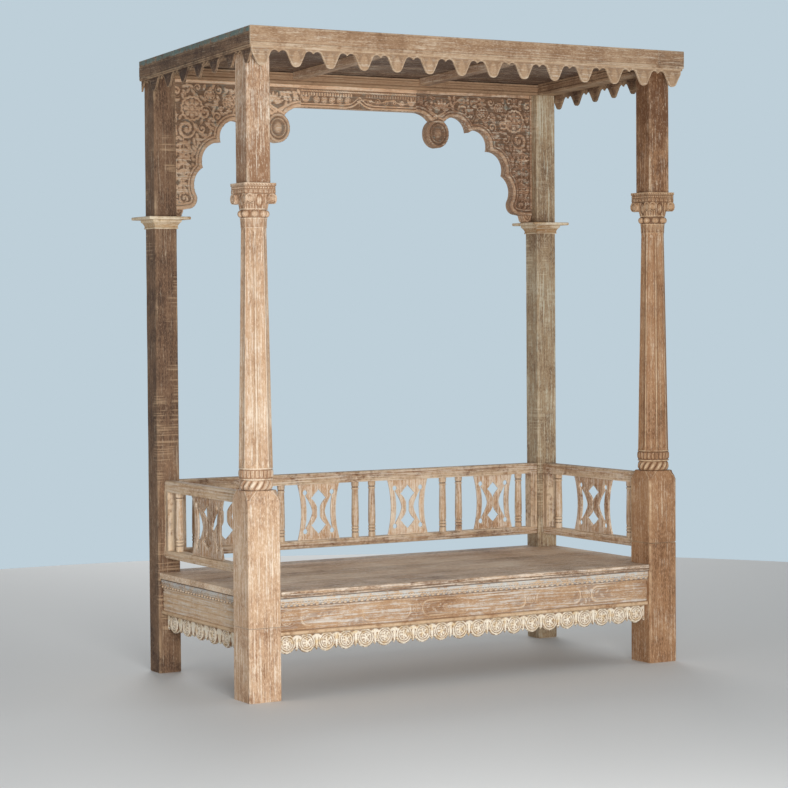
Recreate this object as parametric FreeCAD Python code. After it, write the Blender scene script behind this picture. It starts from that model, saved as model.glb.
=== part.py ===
import FreeCAD, Part
import math
import os

# A carved teak day seat with four posts and a flat canopy. Millimetres, +Z up, +X to the right along
# the front, +Y to the back. The origin is on the floor under the middle of the overall box.

# Overall sizes
POST_SPACING_X = 1810.0
POST_SPACING_Y = 820.0
OVERRUN = 5.0
CLOSED = 0.001

# Front posts: foot, block, rope ring, carved band, eight-sided shaft, neck and bead ring
BLOCK_SIDE = 134.0
BLOCK_CHAMFER = 5.0
BLOCK_RISE = 12.0
SHOULDER_HEIGHT = 34.0
SHOULDER_SIDE = 130.0
SHOULDER_CHAMFER = 30.0
LEFT_SEAM_RISE = 37.0
RIGHT_SEAM_RISE = 85.0
SPLICE_TENON_SIDE = 44.0
SPLICE_TENON_HEIGHT = 50.0
ROPE_RING_HEIGHT = 39.0
ROPE_RING_DIAMETER = 130.0
ROPE_CORE_DIAMETER = 108.0
CARVED_BAND_HEIGHT = 44.0
CARVED_BAND_DIAMETER = 130.0
CARVED_BAND_END_DIAMETER = 127.0
SHAFT_BOTTOM_FLATS = 117.0
SHAFT_MIDDLE_FLATS = 100.0
SHAFT_TOP_FLATS = 87.0
SHAFT_MIDDLE_SHARE = 0.565
NECK_HEIGHT = 37.0
NECK_BOTTOM_FLATS = 90.0
NECK_TOP_FLATS = 96.0
NECK_BEAD_DIAMETER = 30.0
NECK_BEAD_COUNT = 8
NECK_RING_DIAMETER = 121.0
COLUMN_HEIGHT = 1810.0

# Front capitals
CAPITAL_HEIGHT = 97.0
BELL_BOTTOM_DIAMETER = 98.0
BELL_TOP_SIDE = 106.0
BELL_TOP_CHAMFER = 14.0
ABACUS_SIDE = 130.0
ABACUS_CHAMFER = 6.0
ABACUS_HEIGHT = 17.0
EGG_MOULDING_SIDE = 122.0
EGG_MOULDING_HEIGHT = 18.0
VOLUTE_DIAMETER = 29.0
VOLUTE_LENGTH = 128.0
VOLUTE_WIDTH = 30.0
VOLUTE_DROP = 18.0

# Upper posts, from the capitals to the roof
UPPER_POST_HEIGHT = 541.0
UPPER_POST_SIDE = 98.0
UPPER_POST_CHAMFER = 7.0
UPPER_TENON_SIDE = 48.0
UPPER_TENON_DEPTH = 60.0

# Back posts with their capital plates and the moulding under the plates
BACK_POST_SIDE = 96.0
BACK_POST_CHAMFER = 7.0
BACK_POST_TENON_SIDE = 40.0
BACK_POST_TENON_HEIGHT = 18.0
PLATE_SIDE = 178.0
PLATE_THICKNESS = 12.0
PLATE_RISE = 5.0
PLATE_MOULDING_HEIGHT = 36.0
PLATE_MOULDING_LIP_SHARE = 0.25
PLATE_MOULDING_HOLLOW_SHARE = 0.33
PLATE_MOULDING_TOP_SIDE = 123.0
PLATE_MOULDING_BOTTOM_SIDE = 102.0

# Canopy
ROOF_BOARD_THICKNESS = 22.0
ROOF_BOARD_COUNT = 6
ROOF_BOARD_GAP = 0.6
ROOF_FALL = 38.1
BEAM_HEIGHT = 47.0
BEAM_WIDTH = 80.0
BEAM_ROLL_HEIGHT = 13.0
BEAM_ROLL_DEPTH = 5.0
BEAM_BEAD_HEIGHT = 8.0
BEAM_BEAD_DEPTH = 4.0
BEAM_BEAD_DROP = 9.0
BEAM_TENON_WIDTH = 30.0
BEAM_TENON_DEPTH = 30.0
BEAM_TENON_SHOULDER = 8.0
FRONT_BEAM_HEIGHT = 58.0
FRONT_BEAM_DEPTH = 56.0
JOIST_WIDTH = 50.0
JOIST_HEIGHT = 30.0
JOIST_HOUSING = 8.0
JOIST_SPACING = 600.0
FASCIA_THICKNESS = 9.0
FASCIA_HEIGHT = 70.0
SIDE_FASCIA_DROP = 8.0
FASCIA_BEAD_HEIGHT = 7.0
FASCIA_BEAD_LIFT = 5.0
FASCIA_BEAD_DEPTH = 3.0
FASCIA_END_LENGTH = 126.0
VALANCE_THICKNESS = 10.0
VALANCE_HEIGHT = 121.0
SIDE_VALANCE_HEIGHT = 109.0
VALANCE_ARCH_DROP = 61.0
VALANCE_CUSP_DROP = 9.0
VALANCE_LOBE_DROP = 8.0
VALANCE_TIP_RISE = 13.0
FRONT_PENDANT_INSET = 41.0
FRONT_PENDANT_COUNT = 14
SIDE_PENDANT_INSET = 36.0
SIDE_PENDANT_PITCH = 136.5
LOBE_MIDDLE_SHARE = 0.13
LOBE_END_SHARE = 0.232
PENDANT_SIDE_SHARE = 0.362

# Cusped arch between the back posts
ARCH_THICKNESS = 45.0
ARCH_SETBACK = 39.0
ARCH_TONGUE_WIDTH = 15.0
ARCH_TONGUE_DEPTH = 10.0
DISC_SWELL = 4.0
CORBEL_INSET = 10.0
FRIEZE_BOTTOM_SHARE = 0.833
FRIEZE_END_SHARE = 0.321
FRIEZE_CURVE_SHARES = (0.368, 0.817)
DISC_CENTRE_SHARES = (0.4446, 0.675)
DISC_HALF_SHARES = (0.0630, 0.1107)
DISC_INNER_SHARES = (0.4096, 0.7695)
DISC_OUTER_SHARES = (0.4842, 0.7695)
ARCH_CURVE_SHARES = (
    ((0.5461, 0.8094), (0.6254, 0.6915)),
    ((0.6686, 0.7151), (0.7480, 0.5517)),
    ((0.8355, 0.4773), (0.8413, 0.3648)),
    ((0.8880, 0.2396), (0.8751, 0.1633)),
    ((0.8775, 0.1034), (0.9183, 0.0635)),
)
ARCH_FOOT_SHARES = (0.9440, 0.0563)
CORBEL_NOTCH_SHARES = (0.9522, 0.0145)

# Seat deck
SEAT_HEIGHT = 403.0
DECK_THICKNESS = 24.0
DECK_FRONT_SETBACK = 2.0
DECK_SIDE_SETBACK = 3.0
DECK_BACK_SETBACK = 13.0
DECK_BOARD_COUNT = 5
DECK_GAP = 0.8
BEARER_WIDTH = 50.0
BEARER_HEIGHT = 40.0
BEARER_HOUSING = 8.0
BEARER_SPACING = 560.0

# Aprons under the deck, with their bead strips and roll mouldings
APRON_HEIGHT = 142.0
APRON_THICKNESS = 30.0
APRON_FRONT_INSET = 20.0
APRON_SIDE_INSET = 18.0
APRON_BACK_INSET = 12.0
APRON_TENON_THICKNESS = 14.0
APRON_TENON_DEPTH = 34.0
APRON_TENON_SHOULDER = 13.0
BEAD_STRIP_HEIGHT = 36.0
BEAD_STRIP_THICKNESS = 10.0
BEAD_ROW_HEIGHT = 9.0
BEAD_ROW_DEPTH = 4.0
ROLL_HEIGHT = 16.0
ROLL_DEPTH = 8.0

# Lower valances with hanging medallions
LOWER_VALANCE_HEIGHT = 72.0
LOWER_VALANCE_THICKNESS = 12.0
LOWER_TONGUE_THICKNESS = 6.0
LOWER_TONGUE_HEIGHT = 10.0
MEDALLION_NOTCH_RISE = 21.0
LEAF_TIP_RISE = 7.0
FRONT_MEDALLION_COUNT = 20
SIDE_MEDALLION_COUNT = 6
NOTCH_SHARE = 0.10

# Back and side rail frames with fret panels and balusters
FRAME_LIFT = 56.0
BOTTOM_RAIL_HEIGHT = 32.0
INFILL_HEIGHT = 233.0
TOP_RAIL_HEIGHT = 44.0
FRAME_DEPTH = 46.0
FRAME_ROUND = 8.0
BACK_FRAME_SETBACK = 11.0
SIDE_FRAME_SETBACK = 28.0
STILE_WIDTH = 32.0
RAIL_TENON_WIDTH = 20.0
RAIL_TENON_DEPTH = 25.0
RAIL_TENON_SHOULDER = 6.0
HOUSING_DEPTH = 8.0
HOUSING_WIDTH = 12.0
PANEL_THICKNESS = 25.0
BACK_PANEL_WIDTH = 195.0
SIDE_PANEL_WIDTH = 280.0
BACK_PANEL_PITCH = 427.5
BACK_PANEL_COUNT = 4
BALUSTER_DIAMETER = 32.0
BALUSTER_PIN_DIAMETER = 16.0
BALUSTER_PAIR_SPACING = 80.0
SIDE_BALUSTER_OFFSET = 262.0
BACK_END_BALUSTER_INSET = 84.0
PANEL_WAIST_SHARE = 0.41
PANEL_CORNER_SHARES = (0.5, 0.5)
FRET_HOLE_RADIUS = 11.0
FRET_HOLE_SHARES = (0.335, 0.335)
FRET_CRESCENT_END_SHARES = (0.338, 0.30)
FRET_CRESCENT_OUTER_SHARE = 0.285
FRET_CRESCENT_INNER_SHARE = 0.175
DIAMOND_TOP_SHARE = 0.37
DIAMOND_SIDE_SHARES = (0.158, 0.25)
DIAMOND_BOTTOM_SHARE = 0.07
DIAMOND_UPPER_CURVE_SHARES = (0.066, 0.285)
DIAMOND_LOWER_CURVE_SHARES = (0.062, 0.165)
NARROW_SLIT_SHARE = 0.02
WIDE_SLIT_SHARE = 0.10

# Baluster outline, as shares of the radius and of the height between the rails
BALUSTER_FOOT_SHARES = ((0.94, 0.0), (0.94, 0.085), (0.80, 0.10))
BALUSTER_LOWER_RING_SHARES = ((0.80, 0.105), (1.0, 0.128), (0.80, 0.151))
BALUSTER_SECOND_RING_SHARES = ((0.80, 0.158), (1.0, 0.181), (0.80, 0.204))
BALUSTER_SHAFT_SHARES = ((0.88, 0.215), (0.98, 0.30), (0.75, 0.86))
BALUSTER_UPPER_RING_SHARES = ((0.75, 0.866), (0.95, 0.886), (0.75, 0.906))
BALUSTER_HEAD_SHARES = ((0.75, 0.912), (0.94, 0.935), (0.94, 1.0))

# Draw pegs
PEG_DIAMETER = 10.0
PEG_SPACING = 60.0

# Levels worked out from the sizes above
CAPITAL_TOP = COLUMN_HEIGHT + CAPITAL_HEIGHT
ROOF_UNDERSIDE = CAPITAL_TOP + UPPER_POST_HEIGHT
TOTAL_HEIGHT = ROOF_UNDERSIDE + ROOF_BOARD_THICKNESS
FASCIA_BOTTOM = TOTAL_HEIGHT - FASCIA_HEIGHT
VALANCE_TIP_LEVEL = ROOF_UNDERSIDE - VALANCE_HEIGHT
SIDE_TIP_LEVEL = ROOF_UNDERSIDE - SIDE_VALANCE_HEIGHT
VALANCE_ARCH_LEVEL = ROOF_UNDERSIDE - VALANCE_ARCH_DROP
VALANCE_LOBE_LEVEL = VALANCE_ARCH_LEVEL - VALANCE_LOBE_DROP
DECK_BOTTOM = SEAT_HEIGHT - DECK_THICKNESS
APRON_BOTTOM = DECK_BOTTOM - APRON_HEIGHT
FRAME_BOTTOM = SEAT_HEIGHT + FRAME_LIFT
INFILL_BOTTOM = FRAME_BOTTOM + BOTTOM_RAIL_HEIGHT
INFILL_TOP = INFILL_BOTTOM + INFILL_HEIGHT
FRAME_TOP = INFILL_TOP + TOP_RAIL_HEIGHT
BLOCK_TOP = FRAME_TOP + BLOCK_RISE
RING_TOP = BLOCK_TOP + ROPE_RING_HEIGHT
BAND_TOP = RING_TOP + CARVED_BAND_HEIGHT
NECK_TOP = COLUMN_HEIGHT - NECK_BEAD_DIAMETER
SHAFT_TOP = NECK_TOP - NECK_HEIGHT
SHAFT_MIDDLE_LEVEL = BAND_TOP + (SHAFT_TOP - BAND_TOP) * SHAFT_MIDDLE_SHARE
PLATE_TOP_LEVEL = COLUMN_HEIGHT + PLATE_RISE
LEFT_SEAM_LEVEL = APRON_BOTTOM + LEFT_SEAM_RISE
RIGHT_SEAM_LEVEL = SEAT_HEIGHT + RIGHT_SEAM_RISE

# Places worked out from the sizes above
CANOPY_FRONT_BUILD = FRONT_BEAM_DEPTH + VALANCE_THICKNESS + FASCIA_THICKNESS
FRONT_REACH = CANOPY_FRONT_BUILD + UPPER_POST_SIDE / 2
TOTAL_DEPTH = FRONT_REACH + POST_SPACING_Y + PLATE_SIDE / 2
POST_X = POST_SPACING_X / 2
BACK_Y = TOTAL_DEPTH / 2 - PLATE_SIDE / 2
FRONT_Y = BACK_Y - POST_SPACING_Y
BLOCK_FRONT = FRONT_Y - BLOCK_SIDE / 2
BLOCK_BACK = FRONT_Y + BLOCK_SIDE / 2
BLOCK_INNER = POST_X - BLOCK_SIDE / 2
UPPER_FRONT = FRONT_Y - UPPER_POST_SIDE / 2
UPPER_BACK = FRONT_Y + UPPER_POST_SIDE / 2
UPPER_OUTER = POST_X + UPPER_POST_SIDE / 2
POST_BACK_FRONT = BACK_Y - BACK_POST_SIDE / 2
POST_BACK_BACK = BACK_Y + BACK_POST_SIDE / 2
POST_BACK_INNER = POST_X - BACK_POST_SIDE / 2
POST_BACK_OUTER = POST_X + BACK_POST_SIDE / 2
BACK_BEAM_FRONT = POST_BACK_BACK - BEAM_WIDTH
SIDE_BEAM_INNER = UPPER_OUTER - BEAM_WIDTH
FRONT_BEAM_FRONT = UPPER_FRONT - FRONT_BEAM_DEPTH
VALANCE_FRONT = FRONT_BEAM_FRONT - VALANCE_THICKNESS
CANOPY_FRONT = VALANCE_FRONT - FASCIA_THICKNESS
ROOF_FALL_SHARE = ROOF_FALL / (POST_BACK_BACK - VALANCE_FRONT)
BACK_BEAM_TOP = ROOF_UNDERSIDE - (BACK_BEAM_FRONT - VALANCE_FRONT) * ROOF_FALL_SHARE
BEAM_BOTTOM = BACK_BEAM_TOP - BEAM_HEIGHT
VALANCE_SIDE = UPPER_OUTER + VALANCE_THICKNESS
CANOPY_SIDE = VALANCE_SIDE + FASCIA_THICKNESS
ARCH_FRONT = POST_BACK_FRONT + ARCH_SETBACK
ARCH_BACK = ARCH_FRONT + ARCH_THICKNESS
ARCH_MIDDLE = (ARCH_FRONT + ARCH_BACK) / 2
ARCH_HEIGHT = BEAM_BOTTOM - PLATE_TOP_LEVEL
FRONT_APRON_FACE = BLOCK_FRONT + APRON_FRONT_INSET
FRONT_APRON_BACK = FRONT_APRON_FACE + APRON_THICKNESS
SIDE_APRON_FACE = POST_BACK_OUTER - APRON_SIDE_INSET
SIDE_APRON_BACK = SIDE_APRON_FACE - APRON_THICKNESS
BACK_APRON_FACE = POST_BACK_BACK - APRON_BACK_INSET
BACK_APRON_FRONT = BACK_APRON_FACE - APRON_THICKNESS
BACK_FRAME_FRONT = POST_BACK_FRONT + BACK_FRAME_SETBACK
BACK_FRAME_MIDDLE = BACK_FRAME_FRONT + FRAME_DEPTH / 2
SIDE_FRAME_OUTER = POST_BACK_OUTER - SIDE_FRAME_SETBACK
SIDE_FRAME_MIDDLE = SIDE_FRAME_OUTER - FRAME_DEPTH / 2
SIDE_FRAME_CENTRE = (BLOCK_BACK + POST_BACK_FRONT) / 2
OCTAGON_CUT_SHARE = 1 - 1 / math.sqrt(2)
QUARTERS = 4
RIGHT_ANGLE = 90
FULL_TURN = QUARTERS * RIGHT_ANGLE

V = FreeCAD.Vector
CENTRE = V(0, 0, 0)
ALONG_X = V(1, 0, 0)
ALONG_Y = V(0, 1, 0)
UPWARD = V(0, 0, 1)
NORMALS = {"xz": ALONG_Y, "yz": ALONG_X, "xy": UPWARD}
SIDES = {"left": -1, "right": 1}


# Building helpers

def box(x0, x1, y0, y1, z0, z1):
    return Part.makeBox(x1 - x0, y1 - y0, z1 - z0, V(x0, y0, z0))


def in_plane(plane, at, a, b):
    if plane == "xz":
        return V(a, at, b)
    if plane == "yz":
        return V(at, a, b)
    return V(a, b, at)


def curve(middle, end):
    """A round stretch of an outline, through its middle to its end."""
    return ("curve", middle, end)


def outline(steps, plane, at):
    """A closed wire through the steps: corners, and curves made with curve()."""
    here = in_plane(plane, at, *steps[0])
    start = here
    edges = []
    for step in steps[1:]:
        if step[0] == "curve":
            middle = in_plane(plane, at, *step[1])
            end = in_plane(plane, at, *step[2])
            edges.append(Part.Arc(here, middle, end).toShape())
        else:
            end = in_plane(plane, at, *step)
            edges.append(Part.makeLine(here, end))
        here = end
    if here.distanceToPoint(start) > CLOSED:
        edges.append(Part.makeLine(here, start))
    return Part.Wire(edges)


def slab(steps, plane, low, high):
    """A solid of the given outline, from low to high square to the plane."""
    return Part.Face(outline(steps, plane, low)).extrude(NORMALS[plane] * (high - low))


def leaning(steps, low, high):
    """A solid of an outline square to Y, from low to high along Y, falling with the roof."""
    falling = V(0, high - low, roof_level(high) - roof_level(low))
    return Part.Face(outline(steps, "xz", low)).extrude(falling)


def turned(steps, x, y):
    """A solid of revolution about the upright line through x, y. Steps are (radius, level)."""
    shifted = []
    for step in steps:
        if step[0] == "curve":
            shifted.append(curve((x + step[1][0], step[1][1]), (x + step[2][0], step[2][1])))
        else:
            shifted.append((x + step[0], step[1]))
    face = Part.Face(outline(shifted, "xz", y))
    return face.revolve(V(x, y, 0), UPWARD, FULL_TURN)


def cut_square(side, chamfer, x, y, z):
    """A square wire with cut corners, centred on x, y."""
    h = side / 2
    k = h - chamfer
    corners = [(h, -k), (h, k), (k, h), (-k, h), (-h, k), (-h, -k), (-k, -h), (k, -h)]
    points = [V(x + a, y + b, z) for a, b in corners]
    return Part.makePolygon(points + points[:1])


def octagon(flats, x, y, z):
    return cut_square(flats, flats * OCTAGON_CUT_SHARE, x, y, z)


def bar(side, chamfer, x, y, z0, z1):
    """An upright square bar with chamfered corners."""
    return Part.Face(cut_square(side, chamfer, x, y, z0)).extrude(UPWARD * (z1 - z0))


def tapered(*wires):
    return Part.makeLoft(list(wires), True, True)


def square_pin(side, x, y, z0, z1):
    return box(x - side / 2, x + side / 2, y - side / 2, y + side / 2, z0, z1)


def joined(first, *others):
    return first.fuse(list(others)).removeSplitter()


def mirrored(shape):
    return shape.mirror(CENTRE, ALONG_X)


def on_side(shape, side):
    """A piece drawn for the right side, as it is or mirrored to the left."""
    if side == "left":
        return mirrored(shape)
    return shape


def both_sides(shapes):
    return list(shapes) + [mirrored(shape) for shape in shapes]


def roof_level(y):
    """The level of the underside of the roof boards, which falls from the front to the back."""
    return ROOF_UNDERSIDE - (y - VALANCE_FRONT) * ROOF_FALL_SHARE


def above_underside():
    """All the space over the underside of the roof boards."""
    y0, y1 = CANOPY_FRONT - OVERRUN, POST_BACK_BACK + OVERRUN
    top = TOTAL_HEIGHT + OVERRUN
    return slab([(y0, roof_level(y0)), (y1, roof_level(y1)), (y1, top), (y0, top)], "yz",
                -CANOPY_SIDE - OVERRUN, CANOPY_SIDE + OVERRUN)


def fallen(steps):
    """An outline along Y, let down with the roof at each of its points."""
    def let_down(point):
        return point[0], point[1] + roof_level(point[0]) - ROOF_UNDERSIDE

    made = []
    for step in steps:
        if step[0] == "curve":
            made.append(curve(let_down(step[1]), let_down(step[2])))
        else:
            made.append(let_down(step))
    return made


# Tenons, each used for its own piece and for the mortise that takes it

def splice_tenon(seam):
    return square_pin(SPLICE_TENON_SIDE, POST_X, FRONT_Y, seam, seam + SPLICE_TENON_HEIGHT)


def upper_tenon():
    return square_pin(UPPER_TENON_SIDE, POST_X, FRONT_Y, COLUMN_HEIGHT - UPPER_TENON_DEPTH, CAPITAL_TOP)


def back_post_tenon():
    return square_pin(BACK_POST_TENON_SIDE, POST_X, BACK_Y, BEAM_BOTTOM,
                      BEAM_BOTTOM + BACK_POST_TENON_HEIGHT)


def apron_levels():
    return APRON_BOTTOM + APRON_TENON_SHOULDER, DECK_BOTTOM - APRON_TENON_SHOULDER


def front_apron_tenon():
    y = (FRONT_APRON_FACE + FRONT_APRON_BACK) / 2
    z0, z1 = apron_levels()
    return box(BLOCK_INNER, BLOCK_INNER + APRON_TENON_DEPTH,
               y - APRON_TENON_THICKNESS / 2, y + APRON_TENON_THICKNESS / 2, z0, z1)


def side_apron_tenons():
    x = (SIDE_APRON_FACE + SIDE_APRON_BACK) / 2
    x0 = x - APRON_TENON_THICKNESS / 2
    x1 = x + APRON_TENON_THICKNESS / 2
    z0, z1 = apron_levels()
    front = box(x0, x1, BLOCK_BACK - APRON_TENON_DEPTH, BLOCK_BACK, z0, z1)
    back = box(x0, x1, POST_BACK_FRONT, POST_BACK_FRONT + APRON_TENON_DEPTH, z0, z1)
    return front, back


def back_apron_tenon():
    y = (BACK_APRON_FACE + BACK_APRON_FRONT) / 2
    z0, z1 = apron_levels()
    return box(POST_BACK_INNER, POST_BACK_INNER + APRON_TENON_DEPTH,
               y - APRON_TENON_THICKNESS / 2, y + APRON_TENON_THICKNESS / 2, z0, z1)


def rail_levels():
    """The lowest and highest level of the tenons of the bottom and of the top rail."""
    return ((FRAME_BOTTOM + RAIL_TENON_SHOULDER, INFILL_BOTTOM - RAIL_TENON_SHOULDER),
            (INFILL_TOP + RAIL_TENON_SHOULDER, FRAME_TOP - RAIL_TENON_SHOULDER))


def back_rail_tenons():
    y0 = BACK_FRAME_MIDDLE - RAIL_TENON_WIDTH / 2
    y1 = BACK_FRAME_MIDDLE + RAIL_TENON_WIDTH / 2
    return [box(POST_BACK_INNER, POST_BACK_INNER + RAIL_TENON_DEPTH, y0, y1, z0, z1)
            for z0, z1 in rail_levels()]


def side_rail_tenons():
    """Pairs of tenons, at the front block and at the back post, for each rail."""
    x0 = SIDE_FRAME_MIDDLE - RAIL_TENON_WIDTH / 2
    x1 = SIDE_FRAME_MIDDLE + RAIL_TENON_WIDTH / 2
    pairs = []
    for z0, z1 in rail_levels():
        front = box(x0, x1, BLOCK_BACK - RAIL_TENON_DEPTH, BLOCK_BACK, z0, z1)
        back = box(x0, x1, POST_BACK_FRONT, POST_BACK_FRONT + RAIL_TENON_DEPTH, z0, z1)
        pairs.append((front, back))
    return pairs


def side_beam_front_tenon():
    x = (SIDE_BEAM_INNER + UPPER_OUTER) / 2
    return box(x - BEAM_TENON_WIDTH / 2, x + BEAM_TENON_WIDTH / 2,
               UPPER_BACK - BEAM_TENON_DEPTH, UPPER_BACK,
               roof_level(UPPER_BACK) - BEAM_HEIGHT + BEAM_TENON_SHOULDER,
               roof_level(UPPER_BACK) - BEAM_TENON_SHOULDER)


def side_beam_back_tenon():
    """Kept above the tenon of the back post, which stands in the same beam."""
    x = (SIDE_BEAM_INNER + UPPER_OUTER) / 2
    floor = BEAM_BOTTOM + BACK_POST_TENON_HEIGHT + BEAM_TENON_SHOULDER / 2
    return box(x - BEAM_TENON_WIDTH / 2, x + BEAM_TENON_WIDTH / 2,
               BACK_BEAM_FRONT, BACK_BEAM_FRONT + BEAM_TENON_DEPTH,
               floor, BACK_BEAM_TOP - BEAM_TENON_SHOULDER)


def arch_tongues():
    """The tongue along the top of half the arch, and the one up its side."""
    y0 = ARCH_MIDDLE - ARCH_TONGUE_WIDTH / 2
    y1 = ARCH_MIDDLE + ARCH_TONGUE_WIDTH / 2
    top = box(0, POST_BACK_INNER, y0, y1, BEAM_BOTTOM, BEAM_BOTTOM + ARCH_TONGUE_DEPTH)
    foot = PLATE_TOP_LEVEL + ARCH_HEIGHT * ARCH_FOOT_SHARES[1]
    side = box(POST_BACK_INNER, POST_BACK_INNER + ARCH_TONGUE_DEPTH, y0, y1, foot, BEAM_BOTTOM)
    return top, side


def peg(x, y_tip, z):
    """A round peg driven in from the back face."""
    length = POST_BACK_BACK - y_tip
    return Part.makeCylinder(PEG_DIAMETER / 2, length, V(x, y_tip, z), ALONG_Y)


def right_pegs():
    """Two pegs through the back apron's tenon and one through each back rail's tenon."""
    z0, z1 = apron_levels()
    middle = (z0 + z1) / 2
    x = POST_BACK_INNER + APRON_TENON_DEPTH / 2
    tip = BACK_APRON_FRONT
    pegs = [peg(x, tip, middle - PEG_SPACING / 2), peg(x, tip, middle + PEG_SPACING / 2)]
    rail_x = POST_BACK_INNER + RAIL_TENON_DEPTH / 2
    for z0, z1 in rail_levels():
        pegs.append(peg(rail_x, BACK_FRAME_FRONT, (z0 + z1) / 2))
    pegs.append(peg(POST_X, BACK_Y - BACK_POST_TENON_SIDE / 2, BEAM_BOTTOM + BACK_POST_TENON_HEIGHT / 2))
    return pegs


# Front posts

def front_foot(seam):
    foot = bar(BLOCK_SIDE, BLOCK_CHAMFER, POST_X, FRONT_Y, 0, seam)
    foot = joined(foot, splice_tenon(seam))
    return foot.cut(block_mortises())


def block_mortises():
    cuts = [front_apron_tenon(), side_apron_tenons()[0]]
    cuts += [pair[0] for pair in side_rail_tenons()]
    return cuts


def front_column(seam):
    """From the seam in the block to the top of the bead ring, in one piece."""
    x, y = POST_X, FRONT_Y
    block = bar(BLOCK_SIDE, BLOCK_CHAMFER, x, y, seam, BLOCK_TOP - SHOULDER_HEIGHT)
    shoulder = tapered(cut_square(BLOCK_SIDE, BLOCK_CHAMFER, x, y, BLOCK_TOP - SHOULDER_HEIGHT),
                       cut_square(SHOULDER_SIDE, SHOULDER_CHAMFER, x, y, BLOCK_TOP))
    core = ROPE_CORE_DIAMETER / 2
    ring = turned([(0, BLOCK_TOP), (core, BLOCK_TOP),
                   curve((ROPE_RING_DIAMETER / 2, (BLOCK_TOP + RING_TOP) / 2), (core, RING_TOP)),
                   (0, RING_TOP)], x, y)
    end = CARVED_BAND_END_DIAMETER / 2
    band = turned([(0, RING_TOP), (end, RING_TOP),
                   curve((CARVED_BAND_DIAMETER / 2, (RING_TOP + BAND_TOP) / 2), (end, BAND_TOP)),
                   (0, BAND_TOP)], x, y)
    shaft = tapered(octagon(SHAFT_BOTTOM_FLATS, x, y, BAND_TOP),
                    octagon(SHAFT_MIDDLE_FLATS, x, y, SHAFT_MIDDLE_LEVEL),
                    octagon(SHAFT_TOP_FLATS, x, y, SHAFT_TOP))
    neck = tapered(octagon(NECK_BOTTOM_FLATS, x, y, SHAFT_TOP), octagon(NECK_TOP_FLATS, x, y, NECK_TOP))
    beads = [neck_core(x, y)] + neck_beads(x, y)
    column = joined(block, shoulder, ring, band, shaft, neck, *beads)
    return column.cut([splice_tenon(seam), upper_tenon()] + block_mortises())


def neck_core(x, y):
    return Part.makeCylinder((NECK_RING_DIAMETER - NECK_BEAD_DIAMETER) / 2, NECK_BEAD_DIAMETER,
                             V(x, y, NECK_TOP))


def neck_beads(x, y):
    ring = (NECK_RING_DIAMETER - NECK_BEAD_DIAMETER) / 2
    level = NECK_TOP + NECK_BEAD_DIAMETER / 2
    beads = []
    for i in range(NECK_BEAD_COUNT):
        turn = 2 * math.pi * (i + 0.5) / NECK_BEAD_COUNT
        place = V(x + ring * math.cos(turn), y + ring * math.sin(turn), level)
        beads.append(Part.makeSphere(NECK_BEAD_DIAMETER / 2, place))
    return beads


def capital():
    """A square capital: a bell, two pairs of scrolls on each side, an egg moulding and a cap."""
    x, y = POST_X, FRONT_Y
    abacus_bottom = CAPITAL_TOP - ABACUS_HEIGHT
    egg_bottom = abacus_bottom - EGG_MOULDING_HEIGHT
    radius = BELL_BOTTOM_DIAMETER / 2
    bell = tapered(octagon(BELL_BOTTOM_DIAMETER, x, y, COLUMN_HEIGHT),
                   cut_square(BELL_TOP_SIDE, BELL_TOP_CHAMFER, x, y, egg_bottom))
    egg = tapered(cut_square(BELL_TOP_SIDE, BELL_TOP_CHAMFER, x, y, egg_bottom),
                  cut_square(EGG_MOULDING_SIDE, ABACUS_CHAMFER, x, y, abacus_bottom))
    abacus = bar(ABACUS_SIDE, ABACUS_CHAMFER, x, y, abacus_bottom, CAPITAL_TOP)
    scrolls = []
    level = egg_bottom - VOLUTE_DROP
    reach = (VOLUTE_LENGTH - VOLUTE_DIAMETER) / 2
    depth = VOLUTE_LENGTH / 2 - VOLUTE_WIDTH
    for across in (-1, 1):
        for along in (-1, 1):
            for axis in (ALONG_X, ALONG_Y):
                scrolls.append(scroll(x, y, level, axis, across * reach, along, depth))
    whole = joined(bell, egg, abacus, *scrolls)
    return whole.cut(upper_tenon())


def scroll(x, y, level, axis, offset, end, depth):
    """One round scroll end at a corner of the capital, with its disc square to the axis."""
    start = depth if end > 0 else -depth - VOLUTE_WIDTH
    if axis == ALONG_X:
        base = V(x + start, y + offset, level)
    else:
        base = V(x + offset, y + start, level)
    return Part.makeCylinder(VOLUTE_DIAMETER / 2, VOLUTE_WIDTH, base, axis)


def upper_post():
    post = bar(UPPER_POST_SIDE, UPPER_POST_CHAMFER, POST_X, FRONT_Y, CAPITAL_TOP, ROOF_UNDERSIDE)
    return joined(post, upper_tenon()).cut([side_beam_front_tenon(), above_underside()])


# Back posts

def back_post():
    post = bar(BACK_POST_SIDE, BACK_POST_CHAMFER, POST_X, BACK_Y, 0, BEAM_BOTTOM)
    post = joined(post, back_post_tenon())
    cuts = [side_apron_tenons()[1], back_apron_tenon(), arch_tongues()[1]]
    cuts += back_rail_tenons()
    cuts += [pair[1] for pair in side_rail_tenons()]
    cuts += right_pegs()
    return post.cut(cuts)


def capital_plate():
    """A square plate that slides over the post and carries the foot of the arch."""
    x, y = POST_X, BACK_Y
    z0 = PLATE_TOP_LEVEL - PLATE_THICKNESS
    plate = square_pin(PLATE_SIDE, x, y, z0, PLATE_TOP_LEVEL)
    return plate.cut(bar(BACK_POST_SIDE, BACK_POST_CHAMFER, x, y, z0 - OVERRUN, PLATE_TOP_LEVEL + OVERRUN))


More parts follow.
